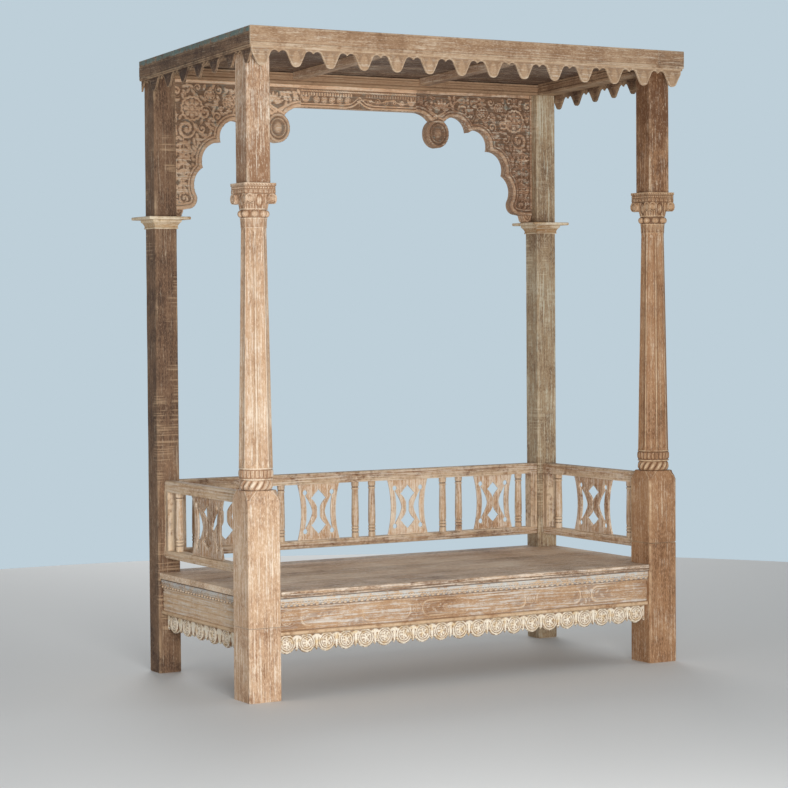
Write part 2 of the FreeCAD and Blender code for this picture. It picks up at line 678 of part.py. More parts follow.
def plate_moulding():
    """Four hollow-faced strips under the plate, mitred at the corners."""
    top = PLATE_TOP_LEVEL - PLATE_THICKNESS
    bottom = top - PLATE_MOULDING_HEIGHT
    inner = BACK_POST_SIDE / 2
    low = PLATE_MOULDING_BOTTOM_SIDE / 2
    high = PLATE_MOULDING_TOP_SIDE / 2
    middle = (low + inner) / 2
    lip = top - PLATE_MOULDING_HEIGHT * PLATE_MOULDING_LIP_SHARE
    hollow = middle + (high - middle) * PLATE_MOULDING_HOLLOW_SHARE
    steps = [(inner, bottom), (low, bottom), curve((hollow, (bottom + lip) / 2), (high, lip)),
             (high, top), (inner, top)]
    strip = slab(steps, "yz", -high, high)
    wedge = slab([(0, 0), (PLATE_SIDE, -PLATE_SIDE), (PLATE_SIDE, PLATE_SIDE)], "xy", bottom, top)
    wedge.rotate(CENTRE, UPWARD, RIGHT_ANGLE)
    piece = strip.common(wedge)
    pieces = []
    for quarter in range(QUARTERS):
        copy = piece.copy()
        copy.rotate(CENTRE, UPWARD, RIGHT_ANGLE * quarter)
        copy.translate(V(POST_X, BACK_Y, 0))
        pieces.append(copy)
    return pieces


# Canopy frame

def beam_face(face, away, bottom, top):
    """The inner edge of a beam's section from bottom to top: a roll below, a bead above."""
    roll = face - away * BEAM_ROLL_DEPTH
    bead = face - away * BEAM_BEAD_DEPTH
    bead_top = top - BEAM_BEAD_DROP
    return [(face, bottom),
            curve((roll, bottom + BEAM_ROLL_HEIGHT / 2), (face, bottom + BEAM_ROLL_HEIGHT)),
            (face, bead_top - BEAM_BEAD_HEIGHT),
            curve((bead, bead_top - BEAM_BEAD_HEIGHT / 2), (face, bead_top)),
            (face, top)]


def plain_back_beam():
    """The mouldings stop against those of the side beams."""
    back = [(POST_BACK_BACK, roof_level(POST_BACK_BACK)), (POST_BACK_BACK, BEAM_BOTTOM)]
    square = slab([(BACK_BEAM_FRONT, BEAM_BOTTOM), (BACK_BEAM_FRONT, BACK_BEAM_TOP)] + back, "yz",
                  -UPPER_OUTER, UPPER_OUTER)
    reach = SIDE_BEAM_INNER - BEAM_ROLL_DEPTH
    moulded = slab(beam_face(BACK_BEAM_FRONT, 1, BEAM_BOTTOM, BACK_BEAM_TOP) + back, "yz", -reach, reach)
    return joined(square, moulded)


def back_beam():
    top_tongue = arch_tongues()[0]
    cuts = both_sides([back_post_tenon(), side_beam_back_tenon(), top_tongue])
    cuts += both_sides(right_pegs())
    cuts += [joist_blank(x) for x in joist_places()]
    return plain_back_beam().cut(cuts)


def side_beam():
    top = roof_level(UPPER_BACK)
    bottom = top - BEAM_HEIGHT
    steps = beam_face(SIDE_BEAM_INNER, 1, bottom, top) + [(UPPER_OUTER, top), (UPPER_OUTER, bottom)]
    beam = leaning(steps, UPPER_BACK, BACK_BEAM_FRONT)
    return joined(beam, side_beam_front_tenon(), side_beam_back_tenon())


def front_beam():
    beam = box(-UPPER_OUTER, UPPER_OUTER, FRONT_BEAM_FRONT, UPPER_FRONT,
               ROOF_UNDERSIDE - FRONT_BEAM_HEIGHT, ROOF_UNDERSIDE)
    return beam.cut([joist_blank(x) for x in joist_places()] + [above_underside()])


def joist_places():
    return -JOIST_SPACING / 2, JOIST_SPACING / 2


def joist_blank(x):
    y0, y1 = UPPER_FRONT - JOIST_HOUSING, BACK_BEAM_FRONT + JOIST_HOUSING
    z0, z1 = roof_level(y0), roof_level(y1)
    return slab([(y0, z0 - JOIST_HEIGHT), (y1, z1 - JOIST_HEIGHT), (y1, z1), (y0, z0)], "yz",
                x - JOIST_WIDTH / 2, x + JOIST_WIDTH / 2)


def roof_joists():
    return [joist_blank(x) for x in joist_places()]


def roof_boards():
    depth = POST_BACK_BACK - VALANCE_FRONT
    pitch = depth / ROOF_BOARD_COUNT
    boards = []
    for i in range(ROOF_BOARD_COUNT):
        y0 = VALANCE_FRONT + i * pitch
        y1 = y0 + pitch - ROOF_BOARD_GAP
        z0, z1 = roof_level(y0), roof_level(y1)
        boards.append(slab([(y0, z0), (y1, z1), (y1, z1 + ROOF_BOARD_THICKNESS), (y0, z0 + ROOF_BOARD_THICKNESS)],
                           "yz", -CANOPY_SIDE, CANOPY_SIDE))
    return boards


# Canopy fascias and valances

def fascia_section(inner, away, bottom, top):
    """A thin board's section with a small bead near its lower edge, seen along its length."""
    outer = inner + away * (FASCIA_THICKNESS - FASCIA_BEAD_DEPTH)
    bead = inner + away * FASCIA_THICKNESS
    z0 = bottom + FASCIA_BEAD_LIFT
    z1 = z0 + FASCIA_BEAD_HEIGHT
    rim = inner + away * FASCIA_THICKNESS
    return [(inner, bottom), (outer, bottom), (outer, z0),
            curve((bead, (z0 + z1) / 2), (outer, z1)), (rim, z1 + FASCIA_BEAD_DEPTH), (rim, top), (inner, top)]


def front_fascia():
    return slab(fascia_section(VALANCE_FRONT, -1, FASCIA_BOTTOM, TOTAL_HEIGHT), "yz",
                -CANOPY_SIDE, CANOPY_SIDE - FASCIA_END_LENGTH)


def front_fascia_end():
    return slab(fascia_section(VALANCE_FRONT, -1, FASCIA_BOTTOM, TOTAL_HEIGHT), "yz",
                CANOPY_SIDE - FASCIA_END_LENGTH, CANOPY_SIDE)


def side_fascia():
    steps = fascia_section(VALANCE_SIDE, 1, FASCIA_BOTTOM - SIDE_FASCIA_DROP, ROOF_UNDERSIDE)
    return leaning(steps, VALANCE_FRONT, POST_BACK_BACK)


def pendant_corner(tip, side, level):
    """The middle of the arc that rounds a pendant from its tip out to its side."""
    across = abs(side - tip)
    radius = (across ** 2 + VALANCE_TIP_RISE ** 2) / (2 * VALANCE_TIP_RISE)
    turn = math.atan2(across, radius - VALANCE_TIP_RISE) / 2
    out = math.copysign(radius * math.sin(turn), side - tip)
    return tip + out, level + radius * (1 - math.cos(turn))


def pendant_edge(first, pitch, count, low, ends):
    """The hanging edge from one end of a board to the other: pendants with a cusped arch between them."""
    half = pitch * (1 / 2 - PENDANT_SIDE_SHARE)
    shoulder = low + VALANCE_TIP_RISE
    cusp = VALANCE_ARCH_LEVEL - VALANCE_CUSP_DROP
    steps = [(ends[0], VALANCE_LOBE_LEVEL)]
    for i in range(count):
        tip = first + i * pitch
        steps.append((tip - half, shoulder))
        steps.append(curve(pendant_corner(tip, tip - half, low), (tip, low)))
        steps.append(curve(pendant_corner(tip, tip + half, low), (tip + half, shoulder)))
        if i + 1 < count:
            middle = tip + pitch / 2
            steps.append((middle - pitch * LOBE_END_SHARE, VALANCE_LOBE_LEVEL))
            steps.append(curve((middle - pitch * LOBE_MIDDLE_SHARE, VALANCE_ARCH_LEVEL), (middle, cusp)))
            steps.append(curve((middle + pitch * LOBE_MIDDLE_SHARE, VALANCE_ARCH_LEVEL),
                               (middle + pitch * LOBE_END_SHARE, VALANCE_LOBE_LEVEL)))
    return steps + [(ends[1], VALANCE_LOBE_LEVEL)]


def front_valance():
    """Two boards that meet over the middle arch."""
    first = FRONT_PENDANT_INSET - VALANCE_SIDE
    steps = pendant_edge(first, -2 * first / (FRONT_PENDANT_COUNT - 1), FRONT_PENDANT_COUNT, VALANCE_TIP_LEVEL,
                         (-VALANCE_SIDE, VALANCE_SIDE))
    steps += [(VALANCE_SIDE, ROOF_UNDERSIDE), (-VALANCE_SIDE, ROOF_UNDERSIDE)]
    whole = slab(steps, "xz", VALANCE_FRONT, FRONT_BEAM_FRONT)
    half = whole.common(box(0, VALANCE_SIDE, VALANCE_FRONT, FRONT_BEAM_FRONT,
                            VALANCE_TIP_LEVEL - OVERRUN, ROOF_UNDERSIDE))
    return both_sides([half.cut(above_underside())])


def side_valance():
    """The pendants are set out from the front end, and the board is sawn off at the back."""
    first = FRONT_BEAM_FRONT + SIDE_PENDANT_INSET
    count = math.ceil((POST_BACK_BACK - first) / SIDE_PENDANT_PITCH) + 1
    last = first + (count - 1) * SIDE_PENDANT_PITCH
    end = last + SIDE_PENDANT_PITCH / 2
    steps = pendant_edge(first, SIDE_PENDANT_PITCH, count, SIDE_TIP_LEVEL, (FRONT_BEAM_FRONT, end))
    steps += [(end, ROOF_UNDERSIDE), (FRONT_BEAM_FRONT, ROOF_UNDERSIDE)]
    whole = slab(fallen(steps), "yz", UPPER_OUTER, VALANCE_SIDE)
    return whole.common(box(UPPER_OUTER, VALANCE_SIDE, FRONT_BEAM_FRONT, POST_BACK_BACK,
                            SIDE_TIP_LEVEL - ROOF_FALL - OVERRUN, ROOF_UNDERSIDE))


# Arch

def arch_point(shares):
    """Shares of half the width between the back posts and of the height over the plates."""
    return POST_BACK_INNER * shares[0], PLATE_TOP_LEVEL + ARCH_HEIGHT * shares[1]


def disc():
    """The hanging disc, an upright oval whose face stands a little proud of the arch."""
    x, z = arch_point(DISC_CENTRE_SHARES)
    w = POST_BACK_INNER * DISC_HALF_SHARES[0]
    h = ARCH_HEIGHT * DISC_HALF_SHARES[1]

    def at(quarters):
        turn = 2 * math.pi * quarters / QUARTERS
        return x + w * math.cos(turn), z + h * math.sin(turn)

    steps = [at(0)]
    for quarter in range(QUARTERS):
        steps.append(curve(at(quarter + 1 / 2), at(quarter + 1)))
    return slab(steps, "xz", ARCH_FRONT - DISC_SWELL, ARCH_BACK)


def bracket():
    """The right bracket, from the joint with the frieze to its foot above the corbel."""
    joint = arch_point((FRIEZE_END_SHARE, FRIEZE_BOTTOM_SHARE))
    steps = [(joint[0], BEAM_BOTTOM), joint,
             curve(arch_point(FRIEZE_CURVE_SHARES), arch_point(DISC_INNER_SHARES)),
             arch_point(DISC_OUTER_SHARES)]
    for middle, end in ARCH_CURVE_SHARES:
        steps.append(curve(arch_point(middle), arch_point(end)))
    foot = arch_point(ARCH_FOOT_SHARES)
    steps += [foot, (POST_BACK_INNER, foot[1]), (POST_BACK_INNER, BEAM_BOTTOM)]
    plate = slab(steps, "xz", ARCH_FRONT, ARCH_BACK)
    top, side = arch_tongues()
    top = top.common(box(joint[0], POST_BACK_INNER, ARCH_FRONT, ARCH_BACK, BEAM_BOTTOM - OVERRUN,
                         ROOF_UNDERSIDE))
    return joined(plate, disc(), top, side)


def frieze():
    """The right half of the straight frieze, which meets the left half in the middle."""
    end, bottom = arch_point((FRIEZE_END_SHARE, FRIEZE_BOTTOM_SHARE))
    plate = box(0, end, ARCH_FRONT, ARCH_BACK, bottom, BEAM_BOTTOM)
    tongue = arch_tongues()[0].common(box(0, end, ARCH_FRONT, ARCH_BACK, BEAM_BOTTOM - OVERRUN,
                                          ROOF_UNDERSIDE))
    return joined(plate, tongue)


def corbel():
    """The small block on the capital plate that the bracket's foot stands on."""
    foot = arch_point(ARCH_FOOT_SHARES)
    notch = arch_point(CORBEL_NOTCH_SHARES)
    steps = [foot, notch, (notch[0] + CORBEL_INSET, PLATE_TOP_LEVEL), (POST_BACK_INNER, PLATE_TOP_LEVEL),
             (POST_BACK_INNER, foot[1])]
    return slab(steps, "xz", ARCH_FRONT, ARCH_BACK)


# Seat

def seat_boards():
    half = POST_BACK_OUTER - DECK_SIDE_SETBACK
    z0, z1 = DECK_BOTTOM, SEAT_HEIGHT
    inner_front = BLOCK_INNER - DECK_GAP
    inner_back = POST_BACK_INNER - DECK_GAP
    boards = [box(-inner_front, inner_front, BLOCK_FRONT + DECK_FRONT_SETBACK, BLOCK_BACK, z0, z1),
              box(-inner_back, inner_back, POST_BACK_FRONT, POST_BACK_BACK - DECK_BACK_SETBACK, z0, z1)]
    pitch = (POST_BACK_FRONT - BLOCK_BACK - DECK_GAP) / DECK_BOARD_COUNT
    for i in range(DECK_BOARD_COUNT):
        y0 = BLOCK_BACK + DECK_GAP + i * pitch
        boards.append(box(-half, half, y0, y0 + pitch - DECK_GAP, z0, z1))
    return boards


def seat_bearers():
    bearers = []
    for x in (-BEARER_SPACING, 0, BEARER_SPACING):
        bearers.append(box(x - BEARER_WIDTH / 2, x + BEARER_WIDTH / 2,
                           FRONT_APRON_BACK - BEARER_HOUSING, BACK_APRON_FRONT + BEARER_HOUSING,
                           DECK_BOTTOM - BEARER_HEIGHT, DECK_BOTTOM))
    return bearers


def lower_tongue_y():
    y = FRONT_APRON_BACK - LOWER_VALANCE_THICKNESS / 2
    return y - LOWER_TONGUE_THICKNESS / 2, y + LOWER_TONGUE_THICKNESS / 2


def lower_tongue_x():
    x = SIDE_APRON_BACK + LOWER_VALANCE_THICKNESS / 2
    return x - LOWER_TONGUE_THICKNESS / 2, x + LOWER_TONGUE_THICKNESS / 2


def front_tongue():
    y0, y1 = lower_tongue_y()
    return box(-BLOCK_INNER, BLOCK_INNER, y0, y1, APRON_BOTTOM, APRON_BOTTOM + LOWER_TONGUE_HEIGHT)


def side_tongue():
    x0, x1 = lower_tongue_x()
    return box(x0, x1, BLOCK_BACK, POST_BACK_FRONT, APRON_BOTTOM, APRON_BOTTOM + LOWER_TONGUE_HEIGHT)


def front_apron():
    plank = box(-BLOCK_INNER, BLOCK_INNER, FRONT_APRON_FACE, FRONT_APRON_BACK, APRON_BOTTOM, DECK_BOTTOM)
    apron = joined(plank, *both_sides([front_apron_tenon()]))
    return apron.cut(seat_bearers() + [front_tongue()])


def back_apron():
    plank = box(-POST_BACK_INNER, POST_BACK_INNER, BACK_APRON_FRONT, BACK_APRON_FACE,
                APRON_BOTTOM, DECK_BOTTOM)
    apron = joined(plank, *both_sides([back_apron_tenon()]))
    return apron.cut(seat_bearers() + both_sides(right_pegs()))


def side_apron():
    plank = box(SIDE_APRON_BACK, SIDE_APRON_FACE, BLOCK_BACK, POST_BACK_FRONT, APRON_BOTTOM, DECK_BOTTOM)
    return joined(plank, *side_apron_tenons()).cut(side_tongue())


def bead_strip_section(face, away):
    """A flat strip under the deck with a half-round row along its lower edge."""
    z0 = DECK_BOTTOM - BEAD_STRIP_HEIGHT
    z1 = z0 + BEAD_ROW_HEIGHT
    outer = face + away * BEAD_STRIP_THICKNESS
    flat = outer - away * BEAD_ROW_DEPTH
    return [(face, z0), (flat, z0), curve((outer, (z0 + z1) / 2), (flat, z1)), (flat, DECK_BOTTOM),
            (face, DECK_BOTTOM)]


def roll_section(face, away):
    z0 = APRON_BOTTOM
    z1 = z0 + ROLL_HEIGHT
    return [(face, z0), curve((face + away * ROLL_DEPTH, (z0 + z1) / 2), (face, z1))]


def apron_bead_strips():
    front = slab(bead_strip_section(FRONT_APRON_FACE, -1), "yz", -BLOCK_INNER, BLOCK_INNER)
    side = slab(bead_strip_section(SIDE_APRON_FACE, 1), "xz", BLOCK_BACK, POST_BACK_FRONT)
    return [front] + both_sides([side])


def apron_roll_mouldings():
    front = slab(roll_section(FRONT_APRON_FACE, -1), "yz", -BLOCK_INNER, BLOCK_INNER)
    side = slab(roll_section(SIDE_APRON_FACE, 1), "xz", BLOCK_BACK, POST_BACK_FRONT)
    return [front] + both_sides([side])


def medallion_edge(start, pitch, count):
    """The lower edge of the medallion board: round medallions with a leaf tip between them."""
    bottom = APRON_BOTTOM - LOWER_VALANCE_HEIGHT
    tip = bottom + LEAF_TIP_RISE
    notch = bottom + MEDALLION_NOTCH_RISE
    steps = [(start, tip)]
    for i in range(count):
        a = start + i * pitch
        b = a + pitch
        steps.append((a + pitch * NOTCH_SHARE, notch))
        steps.append(curve(((a + b) / 2, bottom), (b - pitch * NOTCH_SHARE, notch)))
        steps.append((b, tip))
    return steps


def front_lower_valance():
    steps = medallion_edge(-BLOCK_INNER, 2 * BLOCK_INNER / FRONT_MEDALLION_COUNT, FRONT_MEDALLION_COUNT)
    steps += [(BLOCK_INNER, APRON_BOTTOM), (-BLOCK_INNER, APRON_BOTTOM)]
    board = slab(steps, "xz", FRONT_APRON_BACK - LOWER_VALANCE_THICKNESS, FRONT_APRON_BACK)
    return joined(board, front_tongue())


def side_lower_valance():
    length = POST_BACK_FRONT - BLOCK_BACK
    steps = medallion_edge(BLOCK_BACK, length / SIDE_MEDALLION_COUNT, SIDE_MEDALLION_COUNT)
    steps += [(POST_BACK_FRONT, APRON_BOTTOM), (BLOCK_BACK, APRON_BOTTOM)]
    board = slab(steps, "yz", SIDE_APRON_BACK, SIDE_APRON_BACK + LOWER_VALANCE_THICKNESS)
    return joined(board, side_tongue())


# Rail frames. Each is drawn along X about its own middle and then set in its place

def rail_section(rounded_top):
    """A rail's section with its two outer corners rounded, as (across, level) steps."""
    h = FRAME_DEPTH / 2
    r = FRAME_ROUND
    k = r * OCTAGON_CUT_SHARE
    if rounded_top:
        z0, z1 = INFILL_TOP, FRAME_TOP
        return [(-h, z0), (h, z0), (h, z1 - r), curve((h - k, z1 - k), (h - r, z1)), (r - h, z1),
                curve((k - h, z1 - k), (-h, z1 - r))]
    z0, z1 = FRAME_BOTTOM, INFILL_BOTTOM
    return [(h, z1), (-h, z1), (-h, z0 + r), curve((k - h, z0 + k), (r - h, z0)), (h - r, z0),
            curve((h - k, z0 + k), (h, z0 + r))]


def stile(middle):
    return box(middle - STILE_WIDTH / 2, middle + STILE_WIDTH / 2, -FRAME_DEPTH / 2, FRAME_DEPTH / 2,
               INFILL_BOTTOM, INFILL_TOP)


def housing(middle, width):
    """The tongues of a piece that stands in the grooves of both rails."""
    return box(middle - width / 2, middle + width / 2, -HOUSING_WIDTH / 2, HOUSING_WIDTH / 2,
               INFILL_BOTTOM - HOUSING_DEPTH, INFILL_TOP + HOUSING_DEPTH)


def baluster_pin(x):
    return Part.makeCylinder(BALUSTER_PIN_DIAMETER / 2, INFILL_HEIGHT + 2 * HOUSING_DEPTH,
                             V(x, 0, INFILL_BOTTOM - HOUSING_DEPTH))


def baluster(x):
    radius = BALUSTER_DIAMETER / 2

    def at(shares):
        return radius * shares[0], INFILL_BOTTOM + INFILL_HEIGHT * shares[1]

    steps = [(0, INFILL_BOTTOM)] + [at(s) for s in BALUSTER_FOOT_SHARES]
    for shares in (BALUSTER_LOWER_RING_SHARES, BALUSTER_SECOND_RING_SHARES, BALUSTER_SHAFT_SHARES,
                   BALUSTER_UPPER_RING_SHARES):
        steps.append(at(shares[0]))
        steps.append(curve(at(shares[1]), at(shares[2])))
    steps += [at(s) for s in BALUSTER_HEAD_SHARES] + [(0, INFILL_TOP)]
    return joined(turned(steps, x, 0), baluster_pin(x))


def fret_panel(x, width, slit_share):
    """A waisted board pierced by two curved diamonds, a slit and a slot up each side."""
    middle = (INFILL_BOTTOM + INFILL_TOP) / 2

    def at(shares, across, up):
        return x + across * width * shares[0], middle + up * INFILL_HEIGHT * shares[1]

    waist = (PANEL_WAIST_SHARE, 0)
    board = slab([at(PANEL_CORNER_SHARES, -1, -1), at(PANEL_CORNER_SHARES, 1, -1),
                  curve(at(waist, 1, 1), at(PANEL_CORNER_SHARES, 1, 1)), at(PANEL_CORNER_SHARES, -1, 1),
                  curve(at(waist, -1, 1), at(PANEL_CORNER_SHARES, -1, -1))],
                 "xz", -PANEL_THICKNESS / 2, PANEL_THICKNESS / 2)
    cuts = []
    y0, y1 = -PANEL_THICKNESS / 2 - OVERRUN, PANEL_THICKNESS / 2 + OVERRUN
    for up in (-1, 1):
        top = at((0, DIAMOND_TOP_SHARE), 1, up)
        bottom = at((0, DIAMOND_BOTTOM_SHARE), 1, up)
        cuts.append(slab([top,
                          curve(at(DIAMOND_UPPER_CURVE_SHARES, 1, up), at(DIAMOND_SIDE_SHARES, 1, up)),
                          curve(at(DIAMOND_LOWER_CURVE_SHARES, 1, up), bottom),
                          curve(at(DIAMOND_LOWER_CURVE_SHARES, -1, up), at(DIAMOND_SIDE_SHARES, -1, up)),
                          curve(at(DIAMOND_UPPER_CURVE_SHARES, -1, up), top)], "xz", y0, y1))
    slit = (slit_share / 2, DIAMOND_SIDE_SHARES[1] / 2)
    cuts.append(slab([at(slit, -1, -1), at(slit, 1, -1), at(slit, 1, 1), at(slit, -1, 1)], "xz", y0, y1))
    for across in (-1, 1):
        low = at(FRET_CRESCENT_END_SHARES, across, -1)
        high = at(FRET_CRESCENT_END_SHARES, across, 1)
        cuts.append(slab([low, curve(at((FRET_CRESCENT_OUTER_SHARE, 0), across, 1), high),
                          curve(at((FRET_CRESCENT_INNER_SHARE, 0), across, 1), low)], "xz", y0, y1))
        for up in (-1, 1):
            hole_x, hole_z = at(FRET_HOLE_SHARES, across, up)
            cuts.append(Part.makeCylinder(FRET_HOLE_RADIUS, y1 - y0, V(hole_x, y0, hole_z), ALONG_Y))
    return joined(board, housing(x, width)).cut(cuts)


def frame_pieces(length, panels, baluster_places):
    """Rails, stiles, panels and balusters of one frame; panels are (middle, width, slit share)."""
    half = length / 2
    stile_middle = half - STILE_WIDTH / 2
    stiles = [joined(stile(x), housing(x, STILE_WIDTH / 2)) for x in (-stile_middle, stile_middle)]
    frets = [fret_panel(*panel) for panel in panels]
    balusters = [baluster(x) for x in baluster_places]
    cuts = [housing(x, STILE_WIDTH / 2) for x in (-stile_middle, stile_middle)]
    cuts += [housing(panel[0], panel[1]) for panel in panels]
    cuts += [baluster_pin(x) for x in baluster_places]
    top = slab(rail_section(True), "yz", -half, half).cut(cuts)
    bottom = slab(rail_section(False), "yz", -half, half).cut(cuts)
    return {"rail_top": [top], "rail_bottom": [bottom], "rail_stiles": stiles,
            "fret_panels": frets, "balusters": balusters}


def placed(shapes, turn, x, y):
    moved = []
    for shape in shapes:
        copy = shape.copy()
        copy.rotate(CENTRE, UPWARD, turn)
        copy.translate(V(x, y, 0))
        moved.append(copy)
    return moved


def back_frame():
    panels = []
    for i in range(BACK_PANEL_COUNT):
        x = (i - (BACK_PANEL_COUNT - 1) / 2) * BACK_PANEL_PITCH
        slit = WIDE_SLIT_SHARE if i < BACK_PANEL_COUNT / 2 else NARROW_SLIT_SHARE
        panels.append((x, BACK_PANEL_WIDTH, slit))
    places = []
    for i in range(BACK_PANEL_COUNT - 1):
        x = (i - (BACK_PANEL_COUNT - 2) / 2) * BACK_PANEL_PITCH
        places += [x - BALUSTER_PAIR_SPACING / 2, x + BALUSTER_PAIR_SPACING / 2]
    end = POST_BACK_INNER - BACK_END_BALUSTER_INSET
    places += [-end, end]
    pieces = frame_pieces(2 * POST_BACK_INNER, panels, places)
    pieces = {name: placed(shapes, 0, 0, BACK_FRAME_MIDDLE) for name, shapes in pieces.items()}
    bottom_tenon, top_tenon = back_rail_tenons()
    pegs = both_sides(right_pegs())
    for name, tenon in (("rail_bottom", bottom_tenon), ("rail_top", top_tenon)):
        pieces[name] = [joined(pieces[name][0], *both_sides([tenon])).cut(pegs)]
    pieces["rail_stiles"] = [shape.cut(pegs) for shape in pieces["rail_stiles"]]
    return pieces


def side_frame():
    places = [-SIDE_BALUSTER_OFFSET, SIDE_BALUSTER_OFFSET]
    panels = [(0, SIDE_PANEL_WIDTH, NARROW_SLIT_SHARE)]
    pieces = frame_pieces(POST_BACK_FRONT - BLOCK_BACK, panels, places)
    pieces = {name: placed(shapes, RIGHT_ANGLE, SIDE_FRAME_MIDDLE, SIDE_FRAME_CENTRE)
              for name, shapes in pieces.items()}
    bottom_pair, top_pair = side_rail_tenons()
    for name, pair in (("rail_bottom", bottom_pair), ("rail_top", top_pair)):
        pieces[name] = [joined(pieces[name][0], *pair)]
    return pieces


# Every node of the object

def all_nodes():
    nodes = {}
    seams = {"left": LEFT_SEAM_LEVEL, "right": RIGHT_SEAM_LEVEL}
    frame = side_frame()
    for side in SIDES:
        nodes[f"front_{side}_foot"] = [on_side(front_foot(seams[side]), side)]
        nodes[f"front_{side}_column"] = [on_side(front_column(seams[side]), side)]
        nodes[f"front_{side}_capital"] = [on_side(capital(), side)]
        nodes[f"front_{side}_upper_post"] = [on_side(upper_post(), side)]
        nodes[f"back_{side}_post"] = [on_side(back_post(), side)]
        nodes[f"back_{side}_capital_plate"] = [on_side(capital_plate(), side)]
        nodes[f"back_{side}_capital_moulding"] = [on_side(piece, side) for piece in plate_moulding()]
        nodes[f"{side}_beam"] = [on_side(side_beam(), side)]
        nodes[f"{side}_fascia"] = [on_side(side_fascia(), side)]
        nodes[f"{side}_valance"] = [on_side(side_valance(), side)]
        nodes[f"arch_{side}_bracket"] = [on_side(bracket(), side)]
        nodes[f"arch_{side}_frieze"] = [on_side(frieze(), side)]
        nodes[f"arch_{side}_corbel"] = [on_side(corbel(), side)]
        nodes[f"{side}_apron"] = [on_side(side_apron(), side)]
        nodes[f"{side}_lower_valance"] = [on_side(side_lower_valance(), side)]
        for name, shapes in frame.items():
            nodes[f"{side}_{name}"] = [on_side(shape, side) for shape in shapes]
    for name, shapes in back_frame().items():
        nodes[f"back_{name}"] = shapes
    nodes["back_beam"] = [back_beam()]
    nodes["front_beam"] = [front_beam()]
    nodes["roof_joists"] = roof_joists()
    nodes["roof_boards"] = roof_boards()
    nodes["front_fascia"] = [front_fascia()]
    nodes["front_fascia_end"] = [front_fascia_end()]
    nodes["front_valance"] = front_valance()
    nodes["front_apron"] = [front_apron()]
    nodes["back_apron"] = [back_apron()]
    nodes["apron_bead_strips"] = apron_bead_strips()
    nodes["apron_roll_mouldings"] = apron_roll_mouldings()
    nodes["front_lower_valance"] = [front_lower_valance()]
    nodes["seat_boards"] = seat_boards()
    nodes["seat_bearers"] = seat_bearers()
    nodes["pegs"] = both_sides(right_pegs())
    return nodes


def write_node(name, shapes):
    solids = []
    for shape in shapes:
        solids += shape.Solids
    if len(solids) == 1:
        whole = solids[0]
    else:
        whole = Part.makeCompound(solids)
    whole.exportStep(f"parts/{name}.step")
    room = whole.BoundBox
    print(f"{name}: {len(solids)} solids, valid {whole.isValid()}, x {room.XMin:.1f} {room.XMax:.1f} "
          f"y {room.YMin:.1f} {room.YMax:.1f} z {room.ZMin:.1f} {room.ZMax:.1f}")


os.makedirs("parts", exist_ok=True)
for node_name, node_shapes in all_nodes().items():
    write_node(node_name, node_shapes)
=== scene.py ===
import math

import bmesh
import bpy
import numpy as np
from mathutils import Matrix, Vector
from mathutils.geometry import delaunay_2d_cdt


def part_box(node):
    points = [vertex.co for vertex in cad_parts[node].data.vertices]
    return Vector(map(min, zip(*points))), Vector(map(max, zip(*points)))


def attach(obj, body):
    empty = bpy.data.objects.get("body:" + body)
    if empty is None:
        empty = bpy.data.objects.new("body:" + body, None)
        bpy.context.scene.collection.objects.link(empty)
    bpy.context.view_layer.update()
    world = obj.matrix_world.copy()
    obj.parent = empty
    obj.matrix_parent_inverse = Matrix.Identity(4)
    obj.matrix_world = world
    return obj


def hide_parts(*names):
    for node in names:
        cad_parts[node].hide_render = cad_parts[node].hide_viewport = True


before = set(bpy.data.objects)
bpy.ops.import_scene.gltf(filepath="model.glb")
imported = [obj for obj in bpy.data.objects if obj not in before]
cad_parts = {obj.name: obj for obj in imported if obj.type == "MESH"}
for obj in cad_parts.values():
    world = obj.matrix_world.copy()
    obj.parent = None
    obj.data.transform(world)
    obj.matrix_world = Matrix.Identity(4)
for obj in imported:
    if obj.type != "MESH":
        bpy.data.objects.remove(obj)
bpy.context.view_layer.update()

# A carved teak day seat under a gently sloping canopy. Sizes here are millimetres, turned into metres when a
# mesh is made. Worn, hollow and tone are kept on every point: worn is 1 on rubbed edges, hollow is 1 at the
# bottom of carving, and tone tells one board from the next. Hollow darkens the colour as dirt and as painted
# shade in the recesses; on a few pieces tone is set lower or higher as painted shade or painted light.

MM = 0.001
SIDES = {"left": -1, "right": 1}
TURN = 2 * math.pi
SHARP_ANGLE = 38
FACE_TOLERANCE = 0.15

# Places of the posts, and the levels and widths that several pieces share

POST_X = 905.0
FRONT_Y = -392.5
BACK_Y = 427.5
BLOCK_SIDE = 134.0
UPPER_SIDE = 98.0
BACK_SIDE = 96.0
BACK_INNER = POST_X - BACK_SIDE / 2
POST_CHAMFER = 5.0
SEAMS = {"left": 274.0, "right": 488.0}
SEAM_GAP = 0.7
BLOCK_TOP = 746.0
SHOULDER_TOP = 780.0
ROPE_TOP = 819.0
BAND_TOP = 863.0
SHAFT_WAIST = 1360.0
SHAFT_TOP = 1743.0
NECK_TOP = 1780.0
CORE_RADIUS = 45.5
CAPITAL_LOW = 1810.0
BELL_TOP = 1872.0
LEAVES_LOW = 1866.0
SLAB_LOW = 1896.0
CAPITAL_TOP = 1907.0
UPPER_POST_TOP = 2446.0
BACK_POST_TOP = 2366.0
APRON_LOW = 237.0
APRON_HIGH = 379.0
TOP_RAIL = (724.0, 768.0)
LOW_RAIL = (459.0, 491.0)
RAIL_OPENING = TOP_RAIL[0] - LOW_RAIL[1]


# Gathering shapes

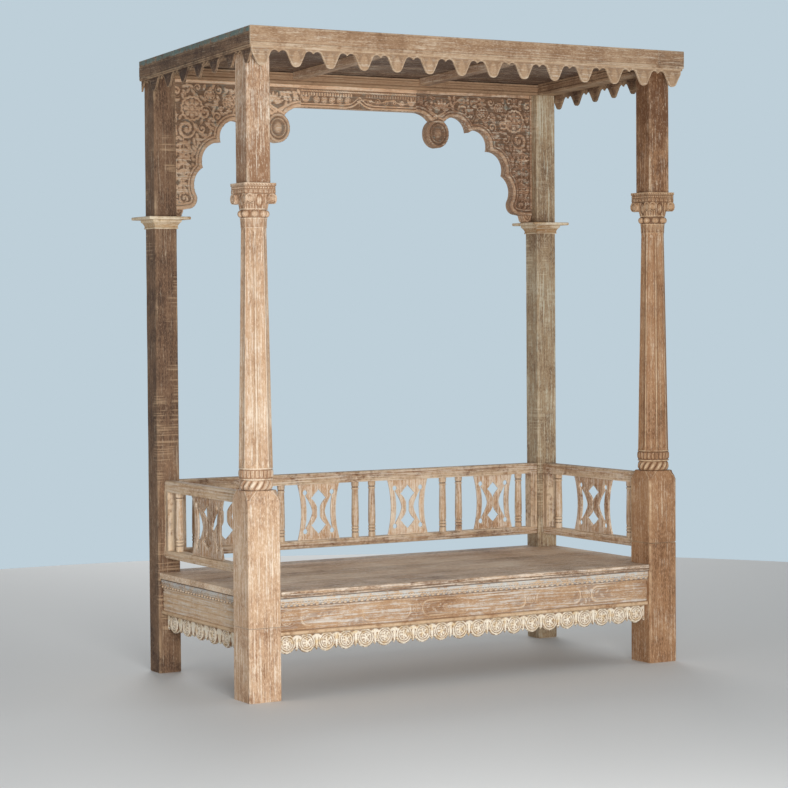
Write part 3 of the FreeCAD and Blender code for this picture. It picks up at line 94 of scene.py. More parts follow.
class Shape:
    """Points and faces of one piece, with their finish values."""

    def __init__(self):
        self.points, self.faces, self.worn, self.hollow, self.tone = [], [], [], [], []
        self.count = 0

    def add(self, points, faces, worn=0.0, hollow=0.0, tone=0.5):
        points = np.asarray(points, float).reshape(-1, 3)
        size = len(points)
        for kept, value in ((self.worn, worn), (self.hollow, hollow), (self.tone, tone)):
            kept.append(np.broadcast_to(np.asarray(value, float), (size,)).copy())
        self.points.append(points)
        for block in faces:
            self.faces.extend((np.asarray(block) + self.count).tolist())
        self.count += size

    def fall(self):
        """Lets a piece made for a level canopy down with the roof, which falls from front to back."""
        for points in self.points:
            points[:, 2] -= roof_fall(points[:, 1])
        return self

    def mesh(self, name):
        mesh = bpy.data.meshes.new(name)
        mesh.from_pydata((np.concatenate(self.points) * MM).tolist(), [], self.faces)
        for label, kept in (("worn", self.worn), ("hollow", self.hollow), ("tone", self.tone)):
            layer = mesh.attributes.new(label, "FLOAT", "POINT")
            layer.data.foreach_set("value", np.concatenate(kept).astype(np.float32))
        work = bmesh.new()
        work.from_mesh(mesh)
        bmesh.ops.remove_doubles(work, verts=work.verts, dist=0.00002)
        bmesh.ops.dissolve_degenerate(work, edges=work.edges, dist=0.000005)
        bmesh.ops.recalc_face_normals(work, faces=work.faces)
        work.to_mesh(mesh)
        work.free()
        mesh.shade_smooth()
        mesh.set_sharp_from_angle(angle=math.radians(SHARP_ANGLE))
        return mesh


def linked(name, data):
    """A new object in the scene that holds the data."""
    made = bpy.data.objects.new(name, data)
    bpy.context.scene.collection.objects.link(made)
    return made


def piece(name, mesh, finish, nodes):
    """Sets a mesh up as a piece of the object that stands for CAD nodes."""
    if isinstance(mesh, Shape):
        mesh = mesh.mesh(name)
    made = linked(name, mesh)
    mesh.materials.clear()
    mesh.materials.append(finish)
    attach(made, "root")
    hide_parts(*nodes)
    return made


def room(node):
    """A CAD node's lowest and highest corner in millimetres."""
    low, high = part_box(node)
    return np.array(low) / MM, np.array(high) / MM


ROOF_THICK = 22.0
ROOF_BACK, ROOF_FRONT = room("roof_boards")[1], room("roof_boards")[0]
ROOF_UNDER = ROOF_BACK[2] - ROOF_THICK
FALL_SHARE = (ROOF_UNDER - ROOF_FRONT[2]) / (ROOF_BACK[1] - ROOF_FRONT[1])


def roof_fall(y):
    """How far the roof has fallen below its front edge."""
    return (np.asarray(y) - ROOF_FRONT[1]) * FALL_SHARE


def ripple(points, seed):
    """A slow unevenness from 0 to 1 over the given points, the same on each run."""
    source = np.random.default_rng(seed)
    total = np.zeros(len(points))
    for _ in range(5):
        way = source.normal(size=3) * 0.022
        total += np.sin(points @ way + source.uniform(0, TURN))
    return 0.5 + total / 10


def smooth(value, low, high):
    t = np.clip((value - low) / (high - low), 0, 1)
    return t * t * (3 - 2 * t)


def grid_faces(rows, columns, wrapped=False):
    """Quads over a grid of points, closed round the columns when wrapped."""
    across = columns if wrapped else columns - 1
    r, c = np.meshgrid(np.arange(rows - 1), np.arange(across), indexing="ij")
    a = (r * columns + c).ravel()
    b = (r * columns + (c + 1) % columns).ravel()
    return np.stack([a, b, b + columns, a + columns], axis=1)


def steps_between(low, high, pace, margin):
    """Places along an edge, close together at both ends for the rubbed corner."""
    if high - low < 4 * margin:
        return np.array([low, (low * 3 + high) / 4, (low + high) / 2, (low + high * 3) / 4, high])
    inner = np.array([(low + high) / 2])
    if high - low > 12 * margin:
        inner = np.linspace(low + 4 * margin, high - 4 * margin, max(2, int((high - low) / pace) + 1))
    return np.concatenate([[low, low + margin], inner, [high - margin, high]])


def plank(shape, low, high, seed, round_off=2.2, along=70.0, dip=0.8, tone=None, hollow=0.0):
    """A hand-worn board or bar: rounded edges, uneven faces and a few nicks along its edges."""
    low, high = np.asarray(low, float), np.asarray(high, float)
    source = np.random.default_rng(seed)
    if tone is None:
        tone = source.uniform(0.25, 0.75)
    size = high - low
    round_off = min(round_off, size.min() / 5)
    places = [steps_between(low[i], high[i], along if size[i] > 200 else 40.0, round_off) for i in range(3)]
    for fixed in range(3):
        a, b = [i for i in range(3) if i != fixed]
        for level in (low[fixed], high[fixed]):
            u, v = np.meshgrid(places[a], places[b], indexing="ij")
            points = np.zeros(u.shape + (3,))
            points[..., a], points[..., b], points[..., fixed] = u, v, level
            flat = points.reshape(-1, 3)
            ends = np.stack([(np.abs(flat[:, i] - low[i]) < 1e-6) | (np.abs(flat[:, i] - high[i]) < 1e-6)
                             for i in range(3)], axis=1)
            middle = (low + high) / 2
            inward = np.sign(middle - flat)
            edges = ends.sum(axis=1)
            nick = (ripple(flat * 9, seed + 5) > 0.74) * 1.5 + 1
            dips = dip * ripple(flat, seed + 1) * (size.min() > 8)
            pull = np.where(edges >= 2, round_off * 0.3 * nick, dips)
            moved = flat + inward * ends * pull[:, None]
            near = np.zeros(len(flat))
            for i in (a, b):
                from_ends = np.minimum(flat[:, i] - low[i], high[i] - flat[:, i])
                near = np.maximum(near, from_ends < round_off * 1.01)
            worn = np.where(edges >= 2, 0.75, near * 0.4)
            shape.add(moved, [grid_faces(len(places[a]), len(places[b]))], worn, hollow, tone)
    return shape


def swept(shape, section, axis, start, end, seed, along=70.0, dip=0.5, tone=None):
    """A moulding: a closed section of (across, level, worn, hollow) points drawn along X or Y."""
    section = np.array([tuple(spot) + (0.0,) * (4 - len(spot)) for spot in section])
    source = np.random.default_rng(seed)
    if tone is None:
        tone = source.uniform(0.3, 0.7)
    count = max(2, int((end - start) / along) + 1)
    places = np.concatenate([[start, start + 2], np.linspace(start + 10, end - 10, count), [end - 2, end]])
    ring = len(section)
    across, level = section[:, 0], section[:, 1]
    centre = np.array([across.mean(), level.mean()])
    points = np.zeros((len(places), ring, 3))
    other = 1 - axis
    for row, place in enumerate(places):
        inset = 0.8 if row in (0, len(places) - 1) else 0.0
        points[row, :, axis] = place
        points[row, :, other] = across + np.sign(centre[0] - across) * inset
        points[row, :, 2] = level + np.sign(centre[1] - level) * inset
    flat = points.reshape(-1, 3)
    inward = np.zeros_like(flat)
    inward[:, other] = np.sign(centre[0] - flat[:, other])
    flat = flat + inward * (dip * ripple(flat, seed + 1))[:, None]
    worn = np.tile(section[:, 2], len(places))
    worn[:ring] = 1
    worn[-ring:] = 1
    caps = [[list(range(ring))], [list(range((len(places) - 1) * ring, len(places) * ring))]]
    hollow = np.tile(section[:, 3], len(places))
    shape.add(flat, [grid_faces(len(places), ring, True)] + caps, worn, hollow, tone)
    return shape


def arc_points(centre, radius, first, last, count, squeeze=1.0):
    """Points along an arc of a section, worn at its crown."""
    turns = np.linspace(math.radians(first), math.radians(last), count)
    crown = np.sin(np.linspace(0, math.pi, count))
    return [(centre[0] + radius * squeeze * math.cos(t), centre[1] + radius * math.sin(t), 0.3 * c)
            for t, c in zip(turns, crown)]


def skin(shape, rings, worn=0.0, hollow=0.0, tone=0.5):
    """A closed skin through rings of points, an array of levels by places round by 3."""
    levels, around = rings.shape[:2]
    flat = rings.reshape(-1, 3)
    faces = [grid_faces(levels, around, True), [list(range(around))],
             [list(range((levels - 1) * around, levels * around))]]
    worn = np.broadcast_to(worn, (levels, around)).ravel() if np.ndim(worn) else worn
    hollow = np.broadcast_to(hollow, (levels, around)).ravel() if np.ndim(hollow) else hollow
    shape.add(flat, faces, worn, hollow, tone)
    return shape


def post(shape, x, y, side, chamfer, low, high, seed, tone=0.5):
    """An upright square post with worn chamfers."""
    h = side / 2
    k = h - chamfer
    near = k - 7
    ring = []
    for a, b in ((1, 0), (0, 1), (-1, 0), (0, -1)):
        for t, mark in ((-k, 1.0), (-near, 0.12), (-near / 3, 0.0), (near / 3, 0.0), (near, 0.12), (k, 1.0)):
            ring.append((a * h - b * t, b * h + a * t, mark, a, b))
    ring = np.array(ring)
    levels = steps_between(low, high, 60.0, 3.0)
    points = np.zeros((len(levels), len(ring), 3))
    for row, level in enumerate(levels):
        pull = 1.2 if row in (0, len(levels) - 1) else 0.0
        points[row, :, 0] = x + ring[:, 0] - np.sign(ring[:, 0]) * pull
        points[row, :, 1] = y + ring[:, 1] - np.sign(ring[:, 1]) * pull
        points[row, :, 2] = level
    flat = points.reshape(-1, 3)
    push = (0.9 * ripple(flat, seed) + 0.5 * ripple(flat * 6, seed + 3))[:, None]
    ways = np.tile(ring[:, 3:5], (len(levels), 1))
    flat[:, :2] -= ways * push
    worn = np.tile(ring[:, 2], len(levels)) * (0.12 + 0.6 * smooth(ripple(flat * 3, seed + 9), 0.50, 0.72))
    worn[:len(ring)] = np.maximum(worn[:len(ring)], 0.5)
    worn[-len(ring):] = np.maximum(worn[-len(ring):], 0.5)
    return skin(shape, flat.reshape(points.shape), worn.reshape(points.shape[:2]), 0.0, tone)


# Boards cut to an outline, with carving on their faces

def face_loops(node, axis, level):
    """The closed outlines of a CAD node's flat face at a level, as lists of (across, up) points."""
    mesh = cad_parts[node].data
    points = np.zeros(len(mesh.vertices) * 3)
    mesh.vertices.foreach_get("co", points)
    points = points.reshape(-1, 3) / MM
    keep = np.abs(points[:, axis] - level) < FACE_TOLERANCE
    other = 1 - axis
    names, number, spots = {}, {}, []
    for i in np.nonzero(keep)[0]:
        key = (round(points[i, other], 2), round(points[i, 2], 2))
        if key not in names:
            names[key] = len(spots)
            spots.append((points[i, other], points[i, 2]))
        number[i] = names[key]
    uses = {}
    for polygon in mesh.polygons:
        corners = [number.get(v) for v in polygon.vertices]
        if None in corners or len(set(corners)) < 3:
            continue
        for a, b in zip(corners, corners[1:] + corners[:1]):
            uses[(min(a, b), max(a, b))] = uses.get((min(a, b), max(a, b)), 0) + 1
    links = {}
    for (a, b), times in uses.items():
        if times == 1:
            links.setdefault(a, []).append(b)
            links.setdefault(b, []).append(a)
    loops = []
    while links:
        here = start = next(iter(links))
        loop = []
        while not loop or here != start:
            loop.append(here)
            following = links[here].pop()
            links[following].remove(here)
            here = following
        links = {spot: ends for spot, ends in links.items() if ends}
        loops.append(np.array([spots[i] for i in loop]))
    return sorted(loops, key=lambda loop: -abs(area(loop)))


def area(loop):
    return 0.5 * np.sum(loop[:, 0] * np.roll(loop[:, 1], -1) - np.roll(loop[:, 0], -1) * loop[:, 1])


def finer(loop, pace):
    """The same outline with no edge longer than the pace and no tiny ones."""
    made = []
    for a, b in zip(loop, np.roll(loop, -1, axis=0)):
        count = max(1, int(math.ceil(np.hypot(*(b - a)) / pace)))
        made += [a + (b - a) * i / count for i in range(count)]
    return spaced(made, pace * 0.22)


def spaced(spots, least=0.05):
    """The points without those that lie too near to the last one kept."""
    kept = [spots[0]]
    for spot in spots[1:]:
        if np.hypot(*(spot - kept[-1])) > least:
            kept.append(spot)
    return np.array(kept)


def inside(loops, points):
    """Which points lie within the outline and out of its holes."""
    answer = np.zeros(len(points), bool)
    px, pz = points[:, 0], points[:, 1]
    for loop in loops:
        for (ax, az), (bx, bz) in zip(loop, np.roll(loop, -1, axis=0)):
            if az == bz:
                continue
            crossing = (az > pz) != (bz > pz)
            answer ^= crossing & (px < (bx - ax) * (pz - az) / (bz - az) + ax)
    return answer


def distance_to(path, points, closed=True):
    """Each point's distance to a line of points."""
    path = np.asarray(path, float)
    starts = path if closed else path[:-1]
    stops = np.roll(path, -1, axis=0) if closed else path[1:]
    best = np.full(len(points), 1e9)
    for a, b in zip(starts, stops):
        way = b - a
        length = max(way @ way, 1e-9)
        t = np.clip(((points - a) @ way) / length, 0, 1)
        best = np.minimum(best, np.hypot(*(points - a - t[:, None] * way).T))
    return best


def nearest_line(paths, spots, closed=True):
    """Each point's distance to the nearest of several lines of points."""
    return np.min([distance_to(path, spots, closed) for path in paths], axis=0)


def filled(loops, pace):
    """Triangles that fill an outline, with points inside it every pace."""
    low = np.min([loop.min(axis=0) for loop in loops], axis=0)
    high = np.max([loop.max(axis=0) for loop in loops], axis=0)
    across = np.arange(low[0] + pace / 2, high[0], pace)
    up = np.arange(low[1] + pace / 2, high[1], pace * 0.87)
    gx, gz = np.meshgrid(across, up)
    gx[1::2] += pace / 2
    spots = np.stack([gx.ravel(), gz.ravel()], axis=1)
    spots = spots[inside(loops, spots)]
    spots = spots[nearest_line(loops, spots) > pace * 0.55]
    links, first = [], 0
    for loop in loops:
        size = len(loop)
        links += [(first + i, first + (i + 1) % size) for i in range(size)]
        first += size
    corners = [Vector(spot) for spot in np.concatenate(loops + [spots])]
    made = delaunay_2d_cdt(corners, links, [], 0, 0.001)
    spots = np.array([tuple(v) for v in made[0]])
    triangles = np.array([f for f in made[2] if len(f) == 3])
    centres = spots[triangles].mean(axis=1)
    return spots, triangles[inside(loops, centres)]


def carved_board(shape, loops, axis, face, back, out, relief, pace=4.0, soft=1.6, tone=0.5, both=False):
    """A board cut to an outline. Relief gives (height, hollow, worn) for points on its face; out is the
    way that the face looks along the axis."""
    loops = [finer(loop, pace) for loop in loops]
    on_edge, lip = 0.02, 2.5
    spots, triangles = filled(loops, pace)
    rim = nearest_line(loops, spots)
    on_rim = rim < on_edge
    height, hollow, worn = relief(spots, rim)
    height = np.where(on_rim, np.minimum(height, 0) - soft, height)
    worn = np.where(on_rim, 1.0, np.maximum(worn, np.where(rim < pace * 0.9, 0.35, 0)))

    def raised(points, level, sense, lift):
        made = np.zeros((len(points), 3))
        made[:, 1 - axis], made[:, 2] = points[:, 0], points[:, 1]
        made[:, axis] = level + sense * lift
        return made

    shape.add(raised(spots, face, out, height), [triangles], worn, hollow, tone)
    if both:
        shape.add(raised(spots, back, -out, height), [triangles], worn, hollow, tone)
    else:
        rear, rear_triangles = filled(loops, max(pace * 5, 24))
        edge = nearest_line(loops, rear) < on_edge
        lift = np.where(edge, -soft * 0.6, 0.0)
        shape.add(raised(rear, back, -out, lift), [rear_triangles], np.where(edge, 0.8, 0), 0, tone)
    for loop in loops:
        size = len(loop)
        front = height_at(loop, spots, height)
        behind = front if both else np.full(size, -soft * 0.6)
        walls = np.stack([raised(loop, face, out, front), raised(loop, face, out, front - lip),
                          raised(loop, back, -out, behind)])
        shape.add(walls.reshape(-1, 3), [grid_faces(3, size, True)], np.repeat([0.9, 0.1, 0.7], size), 0.0,
                  tone)
    return shape


def height_at(loop, spots, height):
    """The face's height at each point of its outline."""
    order = {(round(a, 3), round(b, 3)): h for (a, b), h in zip(spots, height)}
    return np.array([order.get((round(a, 3), round(b, 3)), -1.0) for a, b in loop])


# Node trees

class Web:
    """A node tree with short ways to add its nodes."""

    def __init__(self, tree):
        self.tree = tree

    def feed(self, socket, value):
        if isinstance(value, bpy.types.NodeSocket):
            self.tree.links.new(value, socket)
        elif value is not None:
            socket.default_value = value

    def add(self, kind, inputs=(), **settings):
        """A new node with its settings and inputs, given back as its outputs."""
        made = self.tree.nodes.new(kind)
        for key, value in settings.items():
            setattr(made, key, value)
        for label, value in dict(inputs).items():
            self.feed(made.inputs[label], value)
        return made.outputs

    def sum(self, operation, a, b=None, c=None, clamp=False):
        return self.add("ShaderNodeMath", {0: a, 1: b, 2: c}, operation=operation, use_clamp=clamp)[0]

    def ease(self, value, low, high, start=0.0, stop=1.0):
        ends = {"From Min": low, "From Max": high, "To Min": start, "To Max": stop}
        return self.add("ShaderNodeMapRange", {"Value": value, **ends},
                        interpolation_type="SMOOTHSTEP")["Result"]

    def noise(self, place, scale, detail=4.0, rough=0.6, distortion=0.0):
        return self.add("ShaderNodeTexNoise", {"Vector": place, "Scale": scale, "Detail": detail,
                                               "Roughness": rough, "Distortion": distortion})["Fac"]

    def mix(self, share, a, b):
        return self.add("ShaderNodeMix", {0: share, 6: a, 7: b}, data_type="RGBA")[2]

    def scaled(self, place, scale):
        return self.add("ShaderNodeMapping", {"Vector": place, "Scale": scale})["Vector"]


# Copies of a small shape, made by one tree of geometry nodes

def copies_tree():
    tree = bpy.data.node_groups.new("copies_on_places", "GeometryNodeTree")
    face = tree.interface
    for name, kind in (("Places", "Geometry"), ("Unit", "Object"), ("Finish", "Material"),
                       ("Unevenness", "Float"), ("Seed", "Int")):
        face.new_socket(name=name, in_out="INPUT", socket_type="NodeSocket" + kind)
    face.new_socket(name="Copies", in_out="OUTPUT", socket_type="NodeSocketGeometry")
    web = Web(tree)
    given = web.add("NodeGroupInput")
    turn, size = (web.add("GeometryNodeInputNamedAttribute", {"Name": name},
                          data_type="FLOAT_VECTOR")["Attribute"]
                  for name in ("turn", "size"))
    chance = web.add("FunctionNodeRandomValue", {"Seed": given["Seed"]}, data_type="FLOAT_VECTOR")["Value"]
    chance.node.inputs["Min"].default_value = (-1, -1, -1)
    chance.node.inputs["Max"].default_value = (0, 0, 0)
    spread = web.add("ShaderNodeVectorMath", {0: chance}, operation="SCALE")[0]
    web.feed(spread.node.inputs["Scale"], given["Unevenness"])
    scale = web.add("ShaderNodeVectorMath", {0: spread, 1: size, 2: size}, operation="MULTIPLY_ADD")[0]
    made = web.add("GeometryNodeInstanceOnPoints", {
        "Points": given["Places"], "Scale": scale,
        "Instance": web.add("GeometryNodeObjectInfo", {"Object": given["Unit"]})["Geometry"],
        "Rotation": web.add("FunctionNodeEulerToRotation", {"Euler": turn})["Rotation"]})["Instances"]
    made = web.add("GeometryNodeRealizeInstances", {"Geometry": made})["Geometry"]
    made = web.add("GeometryNodeSetMaterial", {"Geometry": made, "Material": given["Finish"]})["Geometry"]
    web.add("NodeGroupOutput", {"Copies": made})
    return tree, {item.name: item.identifier for item in face.items_tree if item.in_out == "INPUT"}


COPIES, COPY_SOCKETS = copies_tree()


def copies(name, unit, places, finish, nodes, turns=None, sizes=None, unevenness=0.03, seed=1):
    """One plain mesh of a unit shape repeated on places, in millimetres, with turns about the axes."""
    places = np.asarray(places, float)
    pattern = linked(name + "_unit", unit.mesh(name + "_unit"))
    holder_mesh = bpy.data.meshes.new(name + "_places")
    holder_mesh.from_pydata((places * MM).tolist(), [], [])
    turns = np.zeros((len(places), 3)) if turns is None else np.asarray(turns, float)
    sizes = np.ones((len(places), 3)) if sizes is None else np.asarray(sizes, float)
    for label, values in (("turn", turns), ("size", sizes)):
        layer = holder_mesh.attributes.new(label, "FLOAT_VECTOR", "POINT")
        layer.data.foreach_set("vector", values.astype(np.float32).ravel())
    holder = linked(name + "_places", holder_mesh)
    modifier = holder.modifiers.new("copies", "NODES")
    modifier.node_group = COPIES
    modifier[COPY_SOCKETS["Unit"]] = pattern
    modifier[COPY_SOCKETS["Finish"]] = finish
    modifier[COPY_SOCKETS["Unevenness"]] = unevenness
    modifier[COPY_SOCKETS["Seed"]] = seed
    holder.update_tag()
    bpy.context.view_layer.update()
    seen = holder.evaluated_get(bpy.context.evaluated_depsgraph_get())
    made = bpy.data.meshes.new_from_object(seen)
    made.name = name
    holder.modifiers.remove(modifier)
    bpy.data.objects.remove(holder)
    bpy.data.objects.remove(pattern)
    return piece(name, made, finish, nodes)


# Finishes

def shade(red, green, blue):
    """A colour as seen on a screen, from 0 to 255, as the renderer's own numbers."""
    def line(value):
        value /= 255
        return value / 12.92 if value <= 0.04045 else ((value + 0.055) / 1.055) ** 2.4
    return line(red), line(green), line(blue), 1.0


def group(name, build, vectors, colours, numbers):
    """A shader node group with named inputs and outputs; build returns the outputs by name."""
    tree = bpy.data.node_groups.new(name, "ShaderNodeTree")
    for kind, labels in (("Vector", vectors), ("Color", colours), ("Float", numbers)):
        for label in labels:
            tree.interface.new_socket(name=label, in_out="INPUT", socket_type="NodeSocket" + kind)
    web = Web(tree)
    results = build(web, web.add("NodeGroupInput"))
    for label in results:
        kind = "NodeSocketColor" if label == "Colour" else "NodeSocketFloat"
        tree.interface.new_socket(name=label, in_out="OUTPUT", socket_type=kind)
    web.add("NodeGroupOutput", results)
    return tree


def build_old_wood(web, given):
    """Three browns along the fibre, with lime in the pores, rubbed edges, and dirt and painted shade in the
    hollows.
    """
    place, fibre = given["Place"], given["Fibre"]
    streak = web.noise(fibre, 1.3, 8.0, 0.66, 0.5)
    fine = web.noise(fibre, 4.3, 5.0, 0.7)
    short = web.noise(given["Short fibre"], 1.0, 4.0, 0.7, 0.3)
    broad = web.noise(place, 2.4, 3.0, 0.55)
    blotch = web.noise(place, 13.0, 5.0, 0.62)
    tone = web.sum("MULTIPLY_ADD", given["Tone"], 0.34, -0.17)
    value = web.sum("MULTIPLY", streak, 0.24)
    value = web.sum("MULTIPLY_ADD", short, 0.34, value)
    value = web.sum("MULTIPLY_ADD", broad, 0.27, value)
    value = web.sum("MULTIPLY_ADD", blotch, 0.20, value)
    value = web.sum("ADD", value, tone)
    colour = web.mix(web.ease(value, 0.40, 0.53), given["Dark"], given["Middle"])
    colour = web.mix(web.ease(value, 0.52, 0.63), colour, given["Light"])
    lines = web.ease(fine, 0.56, 0.70)
    crack = web.mix(0.55, given["Dark"], (0.02, 0.012, 0.008, 1))
    colour = web.mix(web.sum("MULTIPLY", lines, 0.38), colour, crack)
    lime_fibre = web.noise(fibre, 2.1, 6.0, 0.68, 0.2)
    lime_place = web.noise(place, 58.0, 4.0, 0.65)
    lime_sum = web.sum("MULTIPLY_ADD", lime_place, 0.30, lime_fibre)
    lime_sum = web.sum("MULTIPLY_ADD", broad, 0.30, lime_sum)
    lime_sum = web.sum("MULTIPLY_ADD", given["Lime amount"], 0.30, lime_sum)
    lime = web.ease(lime_sum, 0.95, 1.12)
    colour = web.mix(web.sum("MULTIPLY", lime, 0.6), colour, given["Lime"])
    fleck = web.ease(short, 0.56, 0.68)
    fleck = web.sum("MULTIPLY", fleck, web.sum("MULTIPLY", given["Lime amount"], 0.7), clamp=True)
    colour = web.mix(fleck, colour, given["Lime"])
    rub_noise = web.sum("MULTIPLY_ADD", blotch, 0.7, web.sum("MULTIPLY", lime_place, 0.5))
    rub = web.sum("MULTIPLY", web.ease(rub_noise, 0.42, 0.66), given["Worn"])
    rub = web.sum("MULTIPLY", rub, given["Worn amount"], clamp=True)
    colour = web.mix(rub, colour, given["Worn colour"])
    # Hollow points are darkened: partly dirt, partly painted shade standing in for the shade of the recesses.
    deep = web.sum("MULTIPLY", given["Hollow"], web.ease(lime_place, 0.25, 0.55, 0.55, 1.0))
    deep = web.sum("MULTIPLY", deep, given["Hollow dirt and shade amount"], clamp=True)
    colour = web.mix(deep, colour, given["Hollow dirt and shade colour"])
    height = web.sum("MULTIPLY_ADD", fine, 0.5, short)
    height = web.sum("MULTIPLY_ADD", lines, -0.5, height)
    rough = web.sum("MULTIPLY_ADD", streak, 0.22, 0.60)
    return {"Colour": colour, "Rough": rough, "Height": height}


OLD_WOOD = group("old_wood", build_old_wood, ("Place", "Fibre", "Short fibre"),
                 ("Dark", "Middle", "Light", "Lime", "Worn colour", "Hollow dirt and shade colour"),
                 ("Worn", "Hollow", "Tone", "Lime amount", "Worn amount", "Hollow dirt and shade amount"))


def build_worn_paint(web, given):
    """Thin paint, chipped along the fibre, with stains on it, and dirt and painted shade in the hollows."""
    place, fibre = given["Place"], given["Fibre"]
    patch = web.noise(place, 31.0, 6.0, 0.66)
    chip = web.noise(fibre, 1.6, 6.0, 0.7)
    total = web.sum("MULTIPLY_ADD", patch, 0.8, web.sum("MULTIPLY", chip, 0.6))
    total = web.sum("MULTIPLY_ADD", given["Coverage"], 0.5, total)
    total = web.sum("MULTIPLY_ADD", given["Worn"], -0.22, total)
    cover = web.ease(total, 0.86, 0.96)
    stain = web.mix(web.ease(web.noise(place, 47.0, 4.0, 0.6), 0.45, 0.72), given["Paint"], given["Stain"])
    colour = web.mix(web.sum("MULTIPLY", cover, given["Strength"]), given["Wood"], stain)
    # Hollow points are darkened: partly dirt, partly painted shade in the recesses of the carving.
    deep = web.sum("MULTIPLY", given["Hollow"], web.ease(patch, 0.30, 0.60, 0.6, 1.0))
    colour = web.mix(web.sum("MULTIPLY", deep, given["Paint dirt and shade"], clamp=True), colour, given["Paint dirt and shade colour"])
    return {"Colour": colour, "Height": web.sum("MULTIPLY_ADD", cover, 0.6, given["Wood height"])}


WORN_PAINT = group("worn_paint", build_worn_paint, ("Place", "Fibre"),
                   ("Wood", "Paint", "Stain", "Paint dirt and shade colour"),
                   ("Wood height", "Worn", "Hollow", "Coverage", "Strength", "Paint dirt and shade"))


def build_saw_marks(web, given):
    """Faint level bands left by the saw, in patches."""
    band = web.noise(web.scaled(given["Place"], (5.0, 5.0, 150.0)), 1.0, 2.0, 0.5)
    patch = web.ease(web.noise(web.scaled(given["Place"], (7.0, 7.0, 3.4)), 1.0, 2.0, 0.5), 0.52, 0.62)
    mask = web.sum("MULTIPLY", web.ease(band, 0.50, 0.60), patch)
    mask = web.sum("MULTIPLY", mask, given["Amount"])
    colour = web.mix(mask, given["Wood"], given["Bare"])
    return {"Colour": colour, "Height": web.sum("MULTIPLY_ADD", mask, 0.5, given["Wood height"])}


SAW_MARKS = group("saw_marks", build_saw_marks, ("Place",), ("Wood", "Bare"), ("Wood height", "Amount"))

# Screen colours and amounts for each wood and paint, in the order of the labels

WOOD_LABELS = ("Dark", "Middle", "Light", "Lime", "Worn colour", "Hollow dirt and shade colour", "Lime amount",
               "Worn amount", "Hollow dirt and shade amount")
WOODS = {
    "limed": ((140, 104, 76), (192, 157, 125), (214, 186, 156), (242, 232, 214), (236, 220, 196),
              (124, 86, 58), 0.55, 0.8, 0.8),
    "tan": ((104, 70, 46), (156, 116, 82), (180, 142, 106), (222, 204, 180), (214, 188, 154), (84, 56, 38),
            0.40, 0.8, 0.85),
    "brown": ((70, 50, 38), (118, 90, 68), (150, 118, 90), (190, 172, 148), (182, 154, 122), (58, 40, 30),
              0.34, 0.7, 0.85),
    "greyed": ((110, 84, 62), (160, 136, 106), (184, 164, 134), (212, 210, 190), (214, 198, 170),
               (90, 70, 52), 0.5, 0.7, 0.8),
    "rail": ((98, 68, 48), (154, 118, 88), (186, 152, 118), (232, 222, 206), (220, 196, 164), (80, 54, 38),
             0.66, 0.85, 0.8),
    "fret": ((120, 84, 58), (182, 142, 106), (208, 174, 140), (240, 232, 216), (234, 216, 190),
             (196, 176, 150), 0.75, 0.7, 0.5),
    "arch": ((130, 96, 72), (186, 148, 116), (212, 178, 146), (232, 226, 208), (218, 184, 150), (96, 70, 50),
             0.5, 0.4, 0.66),
    "seat": ((120, 90, 68), (186, 152, 120), (216, 186, 154), (244, 234, 218), (214, 190, 160), (84, 60, 44),
             0.62, 0.6, 0.8),
    "roof": ((92, 68, 52), (148, 118, 94), (182, 152, 124), (214, 202, 184), (186, 156, 124), (60, 42, 32),
             0.45, 0.6, 0.8),
    "fascia": ((96, 70, 50), (140, 108, 80), (168, 138, 108), (214, 200, 180), (206, 186, 160), (88, 62, 44),
               0.46, 0.6, 0.7),
    "apron": ((122, 86, 58), (174, 138, 104), (196, 164, 130), (220, 220, 214), (222, 198, 168),
              (132, 98, 72), 0.58, 0.6, 0.6),
    "pale": ((150, 114, 74), (192, 160, 116), (210, 186, 146), (226, 216, 196), (226, 214, 190),
             (128, 92, 56), 0.62, 0.6, 0.8),
}
PAINT_LABELS = ("Paint", "Stain", "Paint dirt and shade colour", "Coverage", "Strength", "Paint dirt and shade")
PAINTS = {
    "cream": ((240, 231, 213), (218, 192, 150), (126, 86, 50), 0.80, 0.94, 0.95),
    "blue": ((196, 202, 202), (206, 188, 164), (112, 88, 70), 0.58, 0.7, 0.8),
    "teal": ((96, 128, 126), (112, 120, 106), (70, 56, 44), 0.62, 0.66, 0.3),
    "green": ((160, 174, 164), (184, 172, 150), (90, 66, 48), 0.24, 0.5, 0.42),
}
MADE_FINISHES = {}


def values_of(labels, row):
    """A row's colours and amounts under their labels."""
    return {label: shade(*value) if isinstance(value, tuple) else value for label, value in zip(labels, row)}


